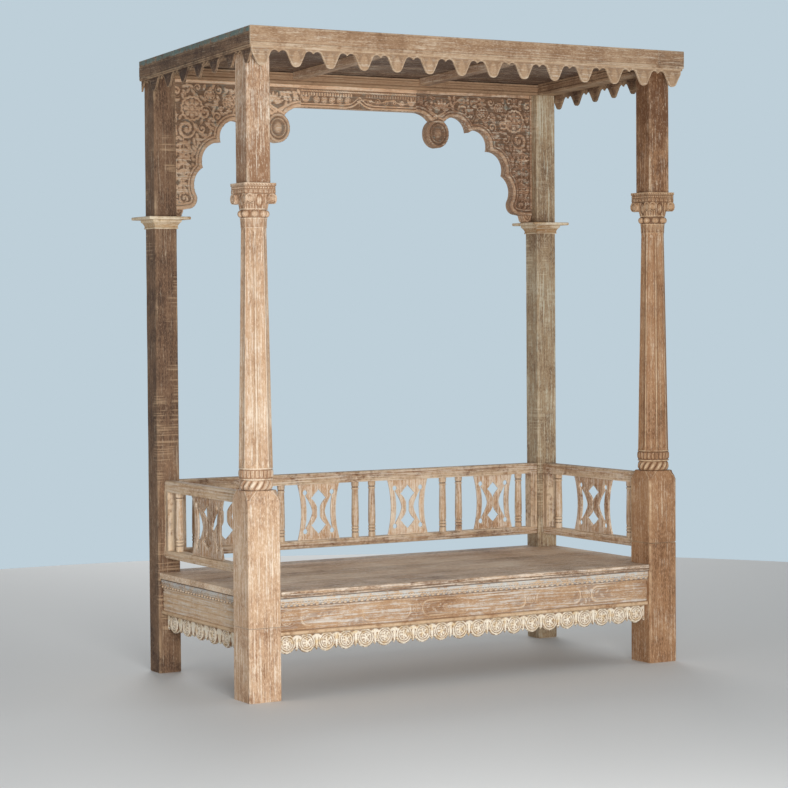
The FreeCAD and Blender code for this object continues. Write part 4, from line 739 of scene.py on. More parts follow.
def finish(wood, grain, paint=None, saw=0.0):
    """A weathered wood with its grain along an axis, and worn paint or saw marks over it."""
    key = (wood, grain, paint, saw)
    if key in MADE_FINISHES:
        return MADE_FINISHES[key]
    name = "_".join([wood, "xyz"[grain], paint or "bare"] + (["sawn"] if saw else []))
    material = bpy.data.materials.new(name)
    material.use_nodes = True
    web = Web(material.node_tree)
    shader = material.node_tree.nodes["Principled BSDF"]
    place = web.add("ShaderNodeTexCoord")["Object"]
    fibre, short_fibre = (web.scaled(place, [along if i == grain else across for i in range(3)])
                          for along, across in ((3.2, 96.0), (84.0, 260.0)))
    marks = {label: web.add("ShaderNodeAttribute", attribute_name=label.lower())["Fac"]
             for label in ("Worn", "Hollow", "Tone")}
    woods = values_of(WOOD_LABELS, WOODS[wood])
    where = {"Place": place, "Fibre": fibre}
    made = web.add("ShaderNodeGroup", {**woods, **where, **marks, "Short fibre": short_fibre},
                   node_tree=OLD_WOOD)
    rough = made["Rough"]
    if saw:
        sawn = {"Place": place, "Bare": woods["Worn colour"], "Amount": saw}
        made = over(web, SAW_MARKS, made, sawn)
    if paint:
        painted = {**values_of(PAINT_LABELS, PAINTS[paint]), **where}
        made = over(web, WORN_PAINT, made, {**painted, "Worn": marks["Worn"], "Hollow": marks["Hollow"]})
    bump = web.add("ShaderNodeBump", {"Strength": 0.45, "Distance": 0.0016, "Height": made["Height"]})
    for label, value in (("Base Color", made["Colour"]), ("Roughness", rough), ("Normal", bump["Normal"]),
                         ("Specular IOR Level", 0.25)):
        web.feed(shader.inputs[label], value)
    MADE_FINISHES[key] = material
    return material


def over(web, tree, wood, inputs):
    """A group laid over a wood's colour and height."""
    return web.add("ShaderNodeGroup", {"Wood": wood["Colour"], "Wood height": wood["Height"], **inputs},
                   node_tree=tree)


# Camera, light, floor and backdrop

CAMERA_PLACE = (-4.7183, -8.0059, 1.4391)
CAMERA_YAW, CAMERA_PITCH, CAMERA_ROLL = 30.047, -2.082, -0.4
CAMERA_LENS = 105.51
CAMERA_FILM = 36.0
LAMPS = (("key_lamp", (-2.2, -5.6, 1.1), 1.8, 268), ("side_lamp", (-6.5, -1.5, 1.0), 3.0, 56),
         ("back_lamp", (2.5, 6.5, 3.2), 4.0, 130), ("right_lamp", (6.5, -3.0, 2.4), 4.0, 60))
LAMP_AIM = (0, 0, 1.15)
BACKDROP_COLOUR = (190, 207, 217)
FLOOR_COLOUR = (222, 222, 220)
FLOOR_RADIUS = 4.3


def set_camera():
    scene = bpy.context.scene
    scene.view_settings.view_transform = "Standard"
    camera = bpy.data.objects.new("camera", bpy.data.cameras.new("camera"))
    camera.data.sensor_width = CAMERA_FILM
    camera.data.lens = CAMERA_LENS
    camera.data.clip_end = 60.0
    yaw, pitch, roll = math.radians(CAMERA_YAW), math.radians(CAMERA_PITCH), math.radians(CAMERA_ROLL)
    forward = Vector((math.sin(yaw) * math.cos(pitch), math.cos(yaw) * math.cos(pitch), math.sin(pitch)))
    right = Vector((math.cos(yaw), -math.sin(yaw), 0))
    up = right.cross(forward)
    across = right * math.cos(roll) + up * math.sin(roll)
    upright = up * math.cos(roll) - right * math.sin(roll)
    turned = Matrix((across, upright, -forward)).transposed().to_4x4()
    camera.matrix_world = Matrix.Translation(Vector(CAMERA_PLACE)) @ turned
    scene.collection.objects.link(camera)
    scene.camera = camera


def set_lamps():
    for name, spot, size, power in LAMPS:
        lamp = linked(name, bpy.data.lights.new(name, "AREA"))
        lamp.data.size = size
        lamp.data.energy = power
        lamp.location = spot
        lamp.rotation_euler = (Vector(LAMP_AIM) - Vector(spot)).to_track_quat("-Z", "Y").to_euler()


def set_backdrop():
    """A plain pale blue where the camera and gloss look, and a soft even light for the rest."""
    world = bpy.data.worlds.new("backdrop")
    bpy.context.scene.world = world
    world.use_nodes = True
    web = Web(world.node_tree)
    world.node_tree.nodes.clear()
    seen = web.add("ShaderNodeBackground", {"Color": shade(*BACKDROP_COLOUR)})[0]
    light = web.add("ShaderNodeBackground", {"Color": (0.90, 0.92, 0.95, 1), "Strength": 0.33})[0]
    ways = web.add("ShaderNodeLightPath")
    shown = web.sum("MAXIMUM", ways["Is Camera Ray"], ways["Is Glossy Ray"])
    shown = web.sum("MAXIMUM", shown, ways["Is Transmission Ray"])
    pick = web.add("ShaderNodeMixShader", {0: shown, 1: light, 2: seen})[0]
    web.add("ShaderNodeOutputWorld", {"Surface": pick})


def set_floor():
    mesh = bpy.data.meshes.new("floor")
    work = bmesh.new()
    bmesh.ops.create_circle(work, cap_ends=True, radius=FLOOR_RADIUS, segments=128)
    bmesh.ops.translate(work, verts=work.verts, vec=(0, 0, -0.0005))
    work.to_mesh(mesh)
    work.free()
    floor = linked("floor", mesh)
    pale = bpy.data.materials.new("pale_floor")
    pale.use_nodes = True
    shader = pale.node_tree.nodes["Principled BSDF"]
    shader.inputs["Base Color"].default_value = shade(*FLOOR_COLOUR)
    shader.inputs["Roughness"].default_value = 0.7
    mesh.materials.append(pale)


set_camera()
set_lamps()
set_backdrop()
set_floor()


# Plain boards and bars

def board_piece(name, nodes, wood, grain, slot, **more):
    """Whole CAD boxes as worn boards, one for each named node."""
    shape = Shape()
    for i, node in enumerate(nodes):
        low, high = room(node)
        plank(shape, low, high, seed=len(name) * 7 + i, **more)
    return piece(name, shape, finish(wood, grain), nodes)


def seat():
    """Deck boards on three bearers; the front board ends in two mouldings with a groove between them."""
    low, high = room("seat_boards")
    front_end, back_end = -326.0, 380.0
    shape = Shape()
    count = 5
    pitch = (back_end - 0.5 - front_end) / count
    for i, tone in enumerate((0.54, 0.68, 0.50, 0.72, 0.58)):
        y = front_end + 0.8 + i * pitch
        plank(shape, (low[0], y, low[2]), (high[0], y + pitch - 1.2, high[2]), seed=40 + i, dip=1.3,
              round_off=2.6, tone=tone)
    inner = 837.0
    lip = low[1] + 16
    plank(shape, (-inner, lip + 2.2, low[2]), (inner, front_end, high[2]), seed=51, dip=1.2, tone=0.42)
    plank(shape, (-inner, low[1], low[2] + 9.5), (inner, lip, high[2] - 0.4), seed=52, round_off=4.0, dip=0.8,
          tone=0.28)
    plank(shape, (-inner, low[1] + 1.5, low[2]), (inner, lip, low[2] + 8.0), seed=55, round_off=1.6, dip=0.6,
          tone=0.12)
    # The next two dark strips, marked hollow and low in tone, fill the groove between the mouldings and the
    # gap behind the lip with painted shade.
    plank(shape, (-inner, low[1] + 4.0, low[2] + 6), (inner, lip, low[2] + 12), seed=56, tone=0.1, hollow=1.0)
    plank(shape, (-inner, lip - 2, low[2] + 1), (inner, lip + 4, high[2] - 3.0), seed=53, tone=0.1,
          hollow=1.0)
    plank(shape, (-856.0, back_end, low[2]), (856.0, high[1], high[2]), seed=54, dip=1.2)
    piece("seat_deck", shape, finish("seat", 0), ["seat_boards"])
    bearers = Shape()
    low, high = room("seat_bearers")
    for i, x in enumerate((-560.0, 0.0, 560.0)):
        plank(bearers, (x - 25, low[1] + 8, low[2]), (x + 25, high[1] - 8, high[2]), seed=60 + i)
    piece("seat_bearers_worn", bearers, finish("roof", 1), ["seat_bearers"])


def roof():
    low, high = room("roof_boards")
    shape = Shape()
    pitch = (high[1] - low[1]) / 6
    for i in range(6):
        y = low[1] + i * pitch
        plank(shape, (low[0], y, ROOF_UNDER), (high[0], y + pitch - 0.7, high[2]), seed=70 + i, dip=0.9,
              along=90, tone=0.16)
    deck = piece("roof_deck", shape.fall(), finish("roof", 0, "teal"), ["roof_boards"])
    deck.data.materials.append(finish("roof", 0))
    for face in deck.data.polygons:
        face.material_index = 1 if face.normal.z < -0.5 else 0
    joists = Shape()
    low, high = room("roof_joists")
    for i, x in enumerate((-300.0, 300.0)):
        plank(joists, (x - 25, low[1] + 8, ROOF_UNDER - 30), (x + 25, high[1] - 8, ROOF_UNDER), seed=80 + i)
    piece("roof_joists_worn", joists.fall(), finish("roof", 1), ["roof_joists"])


BACK_BEAM_FACE = 395.5
SIDE_BEAM = (874.0, 954.0)
SIDE_BEAM_TALL = 47.0
SIDE_FASCIA = (964.0, 973.0)
SIDE_FASCIA_TALL = 56.0


def beam_section(face, away, bottom, top, rear):
    """A beam with a roll along its lower inner edge and a bead above it."""
    points = [(face, bottom, 0.8)]
    points += [(x, z, w) for x, z, w in arc_points((face, bottom + 6.5), 6.5, -90, 90, 7, -away * 0.77)][1:]
    points += [(face + away * 1.2, bottom + 14.2, 0.0), (face, bottom + 16, 0.2), (face, top - 20, 0.1)]
    points += [(face + away * 1.0, top - 18, 0.0)]
    points += [(x, z, w) for x, z, w in arc_points((face, top - 13), 4, -90, 90, 5, -away)]
    points += [(face + away * 1.0, top - 8, 0.0), (face, top - 6.4, 0.2), (face, top, 0.3)]
    points += [(rear, top, 0.4), (rear, bottom + 3, 0.8), (rear + away * -3, bottom, 0.8)]
    return points


def canopy_beams():
    shape = Shape()
    low, high = room("back_beam")
    swept(shape, beam_section(BACK_BEAM_FACE, 1, low[2], high[2] - 3.2, high[1]), 0, low[0], high[0], seed=90,
          tone=0.75)
    piece("back_beam_worn", shape, finish("brown", 0), ["back_beam"])
    for side, sign in SIDES.items():
        shape = Shape()
        section = beam_section(SIDE_BEAM[0], 1, ROOF_UNDER - SIDE_BEAM_TALL, ROOF_UNDER, SIDE_BEAM[1])
        section = [(sign * x, z, w) for x, z, w in section]
        swept(shape, section, 1, FRONT_Y + UPPER_SIDE / 2, BACK_BEAM_FACE, seed=92 + sign, tone=0.62)
        piece(f"{side}_beam_worn", shape.fall(), finish("brown", 1), [f"{side}_beam"])
    board_piece("front_beam_worn", ["front_beam"], "brown", 0, "brown_teak")


def fascia_profile(inner, outer, bottom, top):
    """A thin board with a bead near its lower edge."""
    away = 1 if outer > inner else -1
    flat = outer - away * 3
    points = [(inner, bottom, 0.6), (flat - away, bottom, 0.9), (flat, bottom + 1.2, 0.9),
              (flat, bottom + 4.4, 0.2)]
    points += [(flat + away * 3 * math.sin(t), bottom + 8.5 - 3.5 * math.cos(t), 0.9 * math.sin(t))
               for t in np.linspace(0.15, math.pi - 0.15, 6)]
    points += [(flat, bottom + 13.2, 0.0), (outer - away * 0.6, bottom + 16, 0.35),
               (outer, bottom + 19, 0.15), (outer, top - 7, 0.05), (outer, top - 1.5, 0.7),
               (outer - away * 1.5, top, 0.8), (inner, top, 0.3)]
    return points


def fascias():
    low, high = room("front_fascia")
    section = fascia_profile(high[1], low[1], low[2], high[2])
    for name, start, stop, seed, tone in (("front_fascia", 0, -0.4, 101, 0.62),
                                          ("front_fascia_end", 0.6, 0, 103, 0.4)):
        low, high = room(name)
        shape = swept(Shape(), section, 0, low[0] + start, high[0] + stop, seed=seed, dip=0.7, tone=tone)
        piece(f"{name}_worn", shape, finish("fascia", 0), [name])
    for side, sign in SIDES.items():
        low, high = room(f"{side}_fascia")
        inner, outer = sign * SIDE_FASCIA[0], sign * SIDE_FASCIA[1]
        section = fascia_profile(inner, outer, ROOF_UNDER - SIDE_FASCIA_TALL, ROOF_UNDER)
        shape = swept(Shape(), section, 1, low[1], high[1], seed=105 + sign, dip=0.7, tone=0.35)
        piece(f"{side}_fascia_worn", shape.fall(), finish("brown", 1), [f"{side}_fascia"])


# Pendant valances

def pendant_relief(first, pitch, arch_level, tip_level, depth=1.0):
    """Shallow worn carving: a leaf down each pendant, a scroll on each side and a line along the edge."""
    def relief(spots, rim):
        carving = Carving(spots, -2.4 * depth)
        x, z = spots[:, 0], spots[:, 1]
        along = (x - first + pitch / 2) % pitch - pitch / 2
        everything = np.arange(len(spots))
        carving.lift(everything, smooth(-rim, -5.5, -2.5), 0.0)
        up = (z - tip_level) / (arch_level - tip_level)
        half = 17 * np.clip(np.sin(math.pi * np.clip(up * 0.9 + 0.08, 0, 1)), 0, 1) ** 0.7 + 0.1
        blade = np.sqrt(np.clip(1 - (along / half) ** 2, 0, 1)) * (up > 0.04) * (up < 1.0)
        blade *= 1 - 0.45 * np.exp(-(along / 2.4) ** 2)
        blade *= 1 - 0.25 * (0.5 + 0.5 * np.cos(TURN * (z - np.abs(along) * 0.9) / 11))
        carving.lift(everything, blade, -0.2)
        for hand in (-1, 1):
            gap_x, gap_z = along - hand * pitch * 0.27, z - arch_level + 14
            far, way = np.hypot(gap_x, gap_z) / 15, np.arctan2(gap_z, gap_x * hand) / TURN
            phase = far * 1.5 - way
            coil = np.sqrt(np.clip(1 - ((phase - np.round(phase)) / 0.34) ** 2, 0, 1)) * (far < 1)
            carving.lift(everything, coil, -0.6)
        carving.lift(everything, smooth(z, arch_level + 3, arch_level + 6), 0.0)
        height, hollow, worn = carving.result(0.0)
        return height, hollow * 0.5, worn * 0.6
    return relief


PENDANT_ARCH = 2387.0
PENDANT_PITCH = {"front": 142.0, "side": 136.5}
PENDANT_FIRST = {"front": -923.0, "side": -461.5}
SIDE_PENDANT_TIP = 2339.0


def valances():
    low, high = room("front_valance")
    relief = pendant_relief(PENDANT_FIRST["front"], PENDANT_PITCH["front"], PENDANT_ARCH, low[2])
    shape = Shape()
    for i, loop in enumerate(face_loops("front_valance", 1, low[1])):
        carved_board(shape, [loop], 1, low[1], high[1], -1, relief, 5.0,
                     tone=0.86 + 0.1 * i)
    piece("front_valance_carved", shape, finish("fascia", 0), ["front_valance"])
    for side, sign in SIDES.items():
        low, high = room(f"{side}_valance")
        outer, inner = (low[0], high[0]) if sign < 0 else (high[0], low[0])
        relief = pendant_relief(PENDANT_FIRST["side"], PENDANT_PITCH["side"], PENDANT_ARCH, SIDE_PENDANT_TIP,
                                0.6)
        shape = Shape()
        for loop in face_loops(f"{side}_valance", 0, outer):
            loop[:, 1] += roof_fall(loop[:, 0])
            carved_board(shape, [loop], 0, outer, inner, sign, relief, 5.0,
                         tone=0.3)
        piece(f"{side}_valance_carved", shape.fall(), finish("brown", 1), [f"{side}_valance"])


# Posts

def back_posts():
    for side, sign in SIDES.items():
        low, high = room(f"back_{side}_post")
        shape = post(Shape(), sign * POST_X, BACK_Y, BACK_SIDE, POST_CHAMFER, low[2], BACK_POST_TOP,
                     seed=120 + sign, tone=0.4)
        wood = finish("brown", 2, saw=0.5) if sign < 0 else finish("greyed", 2, saw=0.4)
        piece(f"back_{side}_post_worn", shape, wood, [f"back_{side}_post"])
        low, high = room(f"back_{side}_capital_plate")
        centre = (low + high) / 2
        square_piece(f"back_{side}_capital_plate", centre, plate_profile(low[2], high[2]), 0.38)
        low, high = room(f"back_{side}_capital_moulding")
        profile = [(reach, low[2] + up, worn, 0.5 * (1 - min(1, worn * 4))) for reach, up,
                   worn in MOULDING_PROFILE]
        square_piece(f"back_{side}_capital_moulding", centre, profile, 0.3)


PLATE_HALF = 89.0
MOULDING_PROFILE = ((49.0, 0, 0.5), (51.0, 0.5, 0.9), (51.6, 4, 0.6), (49.4, 6.5, 0.0), (50.2, 12, 0.1),
                    (52.6, 18, 0.1), (56.6, 23.5, 0.2), (60.0, 26.4, 0.8), (60.6, 27.6, 0.9), (61.5, 29, 0.9),
                    (61.5, 34, 0.6), (60.8, 36, 0.6), (49.0, 36, 0.0))


def plate_profile(bottom, top):
    """The plate's edge from its underside to its top, as half width, level, worn and hollow."""
    steps = ((6, bottom, 0.5), (1.5, bottom + 0.5, 0.9), (0, bottom + 3, 0.9), (0, top - 2.5, 0.9),
             (2, top, 0.8), (24, top, 0.1), (41.5, top, 0.0))
    return [(PLATE_HALF - inset, z, worn, 0.0) for inset, z, worn in steps]


def square_piece(name, centre, profile, tone):
    """A square ring of trim round a post."""
    rings = np.array([square_ring(centre, half, z, 6) for half, z, _, _ in profile])
    worn, hollow = (np.repeat([[row[i]] for row in profile], rings.shape[1], axis=1) for i in (2, 3))
    shape = skin(Shape(), rings, worn, hollow, tone)
    piece(f"{name}_worn", shape, finish("pale", 0), [name])


def square_ring(centre, half, z, parts):
    """Points round a square, corner to corner."""
    spots = []
    for a, b in ((1, 0), (0, 1), (-1, 0), (0, -1)):
        for t in np.linspace(-1, 1, parts, endpoint=False):
            spots.append((centre[0] + half * (a - b * t), centre[1] + half * (b + a * t), z))
    return np.array(spots)


def polygon_reach(turns, half, chamfer):
    """How far a square with cut corners reaches in each direction."""
    reach = np.full(len(turns), 1e9)
    for i in range(8):
        away = half if i % 2 == 0 else (2 * half - chamfer) / math.sqrt(2)
        lean = np.cos(turns - i * math.pi / 4)
        reach = np.minimum(reach, np.where(lean > 0.05, away / np.maximum(lean, 0.05), 1e9))
    return reach


def front_posts():
    for side, sign in SIDES.items():
        x, y = sign * POST_X, FRONT_Y
        wood = finish("limed" if sign < 0 else "tan", 2)
        foot = post(Shape(), x, y, BLOCK_SIDE, POST_CHAMFER, 0.0, SEAMS[side] - SEAM_GAP, seed=130 + sign,
                    tone=0.42)
        piece(f"front_{side}_foot_worn", foot, wood, [f"front_{side}_foot"])
        column = Shape()
        post(column, x, y, BLOCK_SIDE, POST_CHAMFER, SEAMS[side] + SEAM_GAP, BLOCK_TOP, seed=133 + sign,
             tone=0.5)
        shoulder(column, x, y)
        rope_ring(column, x, y)
        carved_band(column, x, y)
        shaft(column, x, y)
        neck(column, x, y)
        piece(f"front_{side}_column_carved", column, wood, [f"front_{side}_column"])
        column_beads(side, x, y, wood)
        capital(side, x, y, wood)
        # The upper post's low tone is painted shade: it is darker than the column below as if less light
        # reached it.
        upper = post(Shape(), x, y, UPPER_SIDE, POST_CHAMFER, CAPITAL_TOP, UPPER_POST_TOP, seed=140 + sign,
                     tone=0.27)
        piece(f"front_{side}_upper_post_worn", upper, wood, [f"front_{side}_upper_post"])


def round_ring(x, y, turns, reach, z):
    reach = np.broadcast_to(reach, turns.shape)
    return np.stack([x + reach * np.cos(turns), y + reach * np.sin(turns), np.full(len(turns), z)], axis=1)


def lofted(shape, x, y, turns, levels, reach_at):
    """A skin round x, y: reach_at gives (reach, hollow, worn) for the turns at a level."""
    rings, marks, depths = [], [], []
    for level in levels:
        reach, hollow, worn = reach_at(turns, level)
        rings.append(round_ring(x, y, turns, reach, level))
        marks.append(np.broadcast_to(worn, turns.shape))
        depths.append(np.broadcast_to(hollow, turns.shape))
    return skin(shape, np.array(rings), np.array(marks), np.array(depths), 0.5)


def shoulder(shape, x, y):
    """The block's top, where growing corner cuts leave a lobed leaf arch on each face."""
    turns = np.linspace(0, TURN, 288, endpoint=False)
    low, high = BLOCK_TOP - 2, SHOULDER_TOP

    def reach_at(turns, level):
        t = max(0.0, (level - low - 2) / (high - low - 2))
        half = BLOCK_SIDE / 2 - 2.5 * t
        local = (turns + math.pi / 4) % (math.pi / 2) - math.pi / 4
        across = np.abs(np.tan(local)) * half
        arch = half - 3 - 25 * t ** 1.4 - 2.5 * np.abs(np.cos(t * math.pi * 1.5))
        cut = smooth(across, arch - 2.5, arch + 1.5) * smooth(t, 0.0, 0.12)
        reach = polygon_reach(turns, half, 5 + 17 * t) - 4.0 * cut * (1 - 0.3 * t)
        vein = np.exp(-((across - arch + 9) / 2.0) ** 2) * (t > 0.1)
        crest = np.exp(-((across - arch + 4) / 3.0) ** 2) * (t > 0.02) * 0.8
        return reach - 0.9 * vein, np.clip(cut * 0.35 + vein * 0.5, 0, 1), crest * 0.7

    return lofted(shape, x, y, turns, np.linspace(low, high, 17), reach_at)


def rope_ring(shape, x, y):
    """A swelling ring of twisted strands."""
    turns = np.linspace(0, TURN, 256, endpoint=False)
    strands = 14
    middle, half = (SHOULDER_TOP + ROPE_TOP) / 2, (ROPE_TOP - SHOULDER_TOP) / 2

    def reach_at(turns, level):
        t = (level - middle) / half
        swell = math.sqrt(max(0.0, 1 - t * t))
        twist = np.abs(np.cos(turns * strands / 2 - t * 1.3))
        return 50 + (4.0 + 9.5 * twist ** 0.5) * swell, (1 - twist) ** 1.6 * swell, twist ** 3 * 0.9 * swell

    return lofted(shape, x, y, turns, np.linspace(SHOULDER_TOP, ROPE_TOP, 21), reach_at)


def carved_band(shape, x, y):
    """A belt of upright lobes, each with a vein, between two thin rims."""
    turns = np.linspace(0, TURN, 288, endpoint=False)
    count = 24

    def reach_at(turns, level):
        t = (level - ROPE_TOP) / (BAND_TOP - ROPE_TOP)
        base = 61.5 + 2.8 * math.sin(math.pi * t)
        cell = (turns / TURN * count) % 1.0 - 0.5
        up = (t - 0.5) / 0.34
        rim = 1.0 if (t < 0.13 or t > 0.87) else 0.0
        groove = 1.0 if (0.13 < t < 0.19 or 0.81 < t < 0.87) else 0.0
        lobe = np.clip(1 - (np.abs(cell) / 0.42) ** 2 - max(0.0, -up - 0.35) ** 2 * 2.2, 0, 1) ** 0.5
        vein = np.exp(-(cell / 0.07) ** 2) * (up > -0.6)
        height = np.where(rim + groove > 0, rim * 0.8 - groove * 2.2, -2.6 + 3.2 * lobe - 1.4 * vein)
        hollow = np.clip(-height / 3.2, 0, 1)
        return base + height, hollow, np.clip(height + 0.2, 0, 1) * 0.8

    return lofted(shape, x, y, turns, np.linspace(ROPE_TOP, BAND_TOP, 23), reach_at)


def shaft(shape, x, y):
    """Eight slightly hollowed faces between bright arrises; the hollows end in round arches."""
    turns = np.linspace(0, TURN, 192, endpoint=False)
    bottom, middle, top = BAND_TOP, SHAFT_WAIST, SHAFT_TOP
    wide, waist, narrow = 117.0, 100.0, 87.0
    half_width = 0.40

    def reach_at(turns, level):
        if level < middle:
            flats = wide + (waist - wide) * (level - bottom) / (middle - bottom)
        else:
            flats = waist + (narrow - waist) * (level - middle) / (top - middle)
        reach = polygon_reach(turns, flats / 2, flats * (1 - 1 / math.sqrt(2)))
        across = (turns / (math.pi / 4) + 0.5) % 1.0 - 0.5
        end = max(0.0, 1 - (level - bottom - 8) / 26, 1 - (top - 6 - level) / 24)
        width = half_width * math.sqrt(max(0.0, 1 - min(1.0, end) ** 2))
        fall = smooth(width - np.abs(across), 0.0, 0.09) if width > 0.01 else np.zeros(len(turns))
        dish = fall * (1.9 - 1.0 * (across / half_width) ** 2)
        arris = np.exp(-((np.abs(across) - 0.5) / 0.05) ** 2)
        edge_line = np.exp(-((np.abs(across) - width) / 0.03) ** 2) * (width > 0.02)
        wander = 0.6 * ripple(np.stack([turns * 40, np.full(len(turns), level), turns * 0], axis=1), 7)
        worn = np.clip(arris * 0.9 + 0.25 * np.exp(-(across / 0.1) ** 2), 0, 1)
        return reach - dish - wander, edge_line * 0.55, worn

    levels = np.concatenate([np.linspace(bottom, bottom + 36, 14), np.linspace(bottom + 48, top - 44, 46),
                             np.linspace(top - 33, top, 13)])
    return lofted(shape, x, y, turns, levels, reach_at)


def neck(shape, x, y):
    """A belt of pointed leaves, and above it the plain core behind the ring of beads."""
    turns = np.linspace(0, TURN, 224, endpoint=False)

    def reach_at(turns, level):
        t = (level - SHAFT_TOP) / (NECK_TOP - SHAFT_TOP)
        reach = polygon_reach(turns, 45 + 3 * t, (90 + 6 * t) * (1 - 1 / math.sqrt(2)))
        across = (turns / (math.pi / 8) + 0.5) % 1.0 - 0.5
        width = 0.46 * math.sqrt(max(0.0, t)) if t < 0.75 else 0.46
        leaf = np.clip(1 - (np.abs(across) / max(width, 0.02)) ** 2, 0, 1) * (t > 0.04)
        vein = np.exp(-(across / 0.05) ** 2)
        rim = 1.0 if t < 0.07 or t > 0.92 else 0.0
        curl = np.cos(across * TURN + 5 * t)
        height = np.where(rim > 0, 0.0, -1.5 + 1.1 * leaf - 0.6 * vein * leaf + 0.5 * curl)
        hollow = np.clip(-height / 3.4, 0, 1) * (1 - rim)
        return reach + height - 0.5, hollow, np.clip(leaf * 0.4 + rim * 0.4, 0, 1)

    lofted(shape, x, y, turns, np.linspace(SHAFT_TOP, NECK_TOP, 21), reach_at)
    # The core is marked hollow, so it is darkened behind the beads: dirt and painted shade.
    core = np.linspace(0, TURN, 64, endpoint=False)
    return lofted(shape, x, y, core, np.linspace(NECK_TOP, CAPITAL_LOW, 4),
                  lambda turns, level: (np.full(len(turns), CORE_RADIUS), 0.9, 0.0))


def ball(radius, rows=9, around=16, worn_top=0.5):
    """A round bead, rubbed on its outer side."""
    shape = Shape()
    tilt = np.linspace(-math.pi / 2 + 0.12, math.pi / 2 - 0.12, rows)
    turns = np.linspace(0, TURN, around, endpoint=False)
    rings = np.array([np.stack([radius * math.cos(t) * np.cos(turns), radius * math.cos(t) * np.sin(turns),
                                np.full(around, radius * math.sin(t))], axis=1) for t in tilt])
    marks = np.array([np.full(around, worn_top * math.cos(t)) for t in tilt])
    depths = np.array([np.full(around, 0.9 * (1 - math.cos(t)) ** 0.9) for t in tilt])
    return skin(shape, rings, marks, depths, 0.6)


def column_beads(side, x, y, wood):
    """Eight large beads round the plain core of the neck."""
    turns = np.arange(8) * TURN / 8 + TURN / 16
    level = (NECK_TOP + CAPITAL_LOW) / 2
    places = [(x + CORE_RADIUS * math.cos(t), y + CORE_RADIUS * math.sin(t), level) for t in turns]
    copies(f"front_{side}_neck_beads", ball(14.3, worn_top=0.15), places, wood, [f"front_{side}_column"],
           turns=[(0, 0, t) for t in turns], unevenness=0.05, seed=3)


# Carved ornament

class Carving:
    """Heights of carved ornament over a board's face, above a sunk ground."""

    def __init__(self, spots, ground):
        self.spots = spots
        self.ground = float(ground)
        self.height = np.full(len(spots), self.ground)

    def near(self, centre, reach):
        gap = self.spots - np.asarray(centre, float)
        picked = np.nonzero((np.abs(gap) < reach).all(axis=1))[0]
        return picked, gap[picked]

    def lift(self, picked, share, top):
        """Raises points by a share of the way from the ground to the top."""
        made = self.ground + (top - self.ground) * np.clip(share, 0, 1)
        self.height[picked] = np.maximum(self.height[picked], made)

    def roll(self, picked, distance, half, top):
        self.lift(picked, np.sqrt(np.clip(1 - (distance / half) ** 2, 0, 1)), top)

    def line(self, path, half, top):
        path = np.asarray(path, float)
        low, high = path.min(axis=0) - half, path.max(axis=0) + half
        picked = np.nonzero(((self.spots > low) & (self.spots < high)).all(axis=1))[0]
        if len(picked):
            self.roll(picked, distance_to(path, self.spots[picked], False), half, top)

    def rosette(self, centre, radius, petals, top, ring=True):
        picked, gap = self.near(centre, radius * 1.1)
        far = np.hypot(gap[:, 0], gap[:, 1]) / radius
        way = np.arctan2(gap[:, 1], gap[:, 0])
        if ring:
            scallop = 0.035 * np.cos(way * petals * 2)
            self.roll(picked, (far - 0.88 + scallop) * radius, radius * 0.11, top)
        petal = np.abs(np.cos(way * petals / 2)) ** 0.6
        inner = np.abs(np.sin(way * petals / 2)) ** 0.6 * np.clip(1 - ((far - 0.32) / 0.12) ** 2, 0, 1) ** 0.5
        self.lift(picked, inner * 0.8, top)
        blade = np.clip(1 - ((far - 0.5) / (0.26 if ring else 0.48)) ** 2, 0, 1) ** 0.5
        self.lift(picked, petal * blade * 0.95, top)
        self.lift(picked, np.sqrt(np.clip(1 - (far / 0.23) ** 2, 0, 1)), top)

    def spiral(self, centre, radius, turns, top, hand=1, start=0.0):
        picked, gap = self.near(centre, radius * 1.05)
        far = np.hypot(gap[:, 0], gap[:, 1]) / radius
        way = np.arctan2(gap[:, 1], gap[:, 0]) * hand / TURN
        phase = far * turns - way - start
        off = np.abs(phase - np.round(phase)) / (0.33 + 0.06 * np.cos(way * TURN * 9))
        self.lift(picked, np.sqrt(np.clip(1 - off ** 2, 0, 1)) * (far < 1.0), top)
        self.lift(picked, np.sqrt(np.clip(1 - (far / 0.2) ** 2, 0, 1)), top)

    def leaf(self, base, lean, length, width, top, bend=0.0, ribs=3):
        way = np.array((math.cos(lean), math.sin(lean)))
        picked, gap = self.near(np.asarray(base, float) + way * length / 2, length * (0.6 + abs(bend)))
        along = gap @ way / length + 0.5
        across = gap @ np.array((-way[1], way[0])) - bend * length * along ** 2
        held = (along > 0) & (along < 1)
        picked, along, across = picked[held], along[held], across[held]
        half = width / 2 * np.sin(math.pi * along ** 0.75) ** 0.8 + 1e-6
        share = np.sqrt(np.clip(1 - (across / half) ** 2, 0, 1))
        share *= 1 - 0.40 * np.exp(-(across / (0.10 * width)) ** 2)
        share *= 1 - 0.20 * (0.5 + 0.5 * np.cos(TURN * (along * ribs - np.abs(across) / width * 1.4)))
        self.lift(picked, share, top)

    def strip(self, axis, low, high, top):
        picked = np.nonzero((self.spots[:, axis] > low) & (self.spots[:, axis] < high))[0]
        self.lift(picked, np.ones(len(picked)), top)

    def result(self, top):
        deep = np.clip((top - self.height) / (top - self.ground), 0, 1)
        return self.height, smooth(deep, 0.35, 0.95), smooth(1 - deep, 0.72, 0.98)


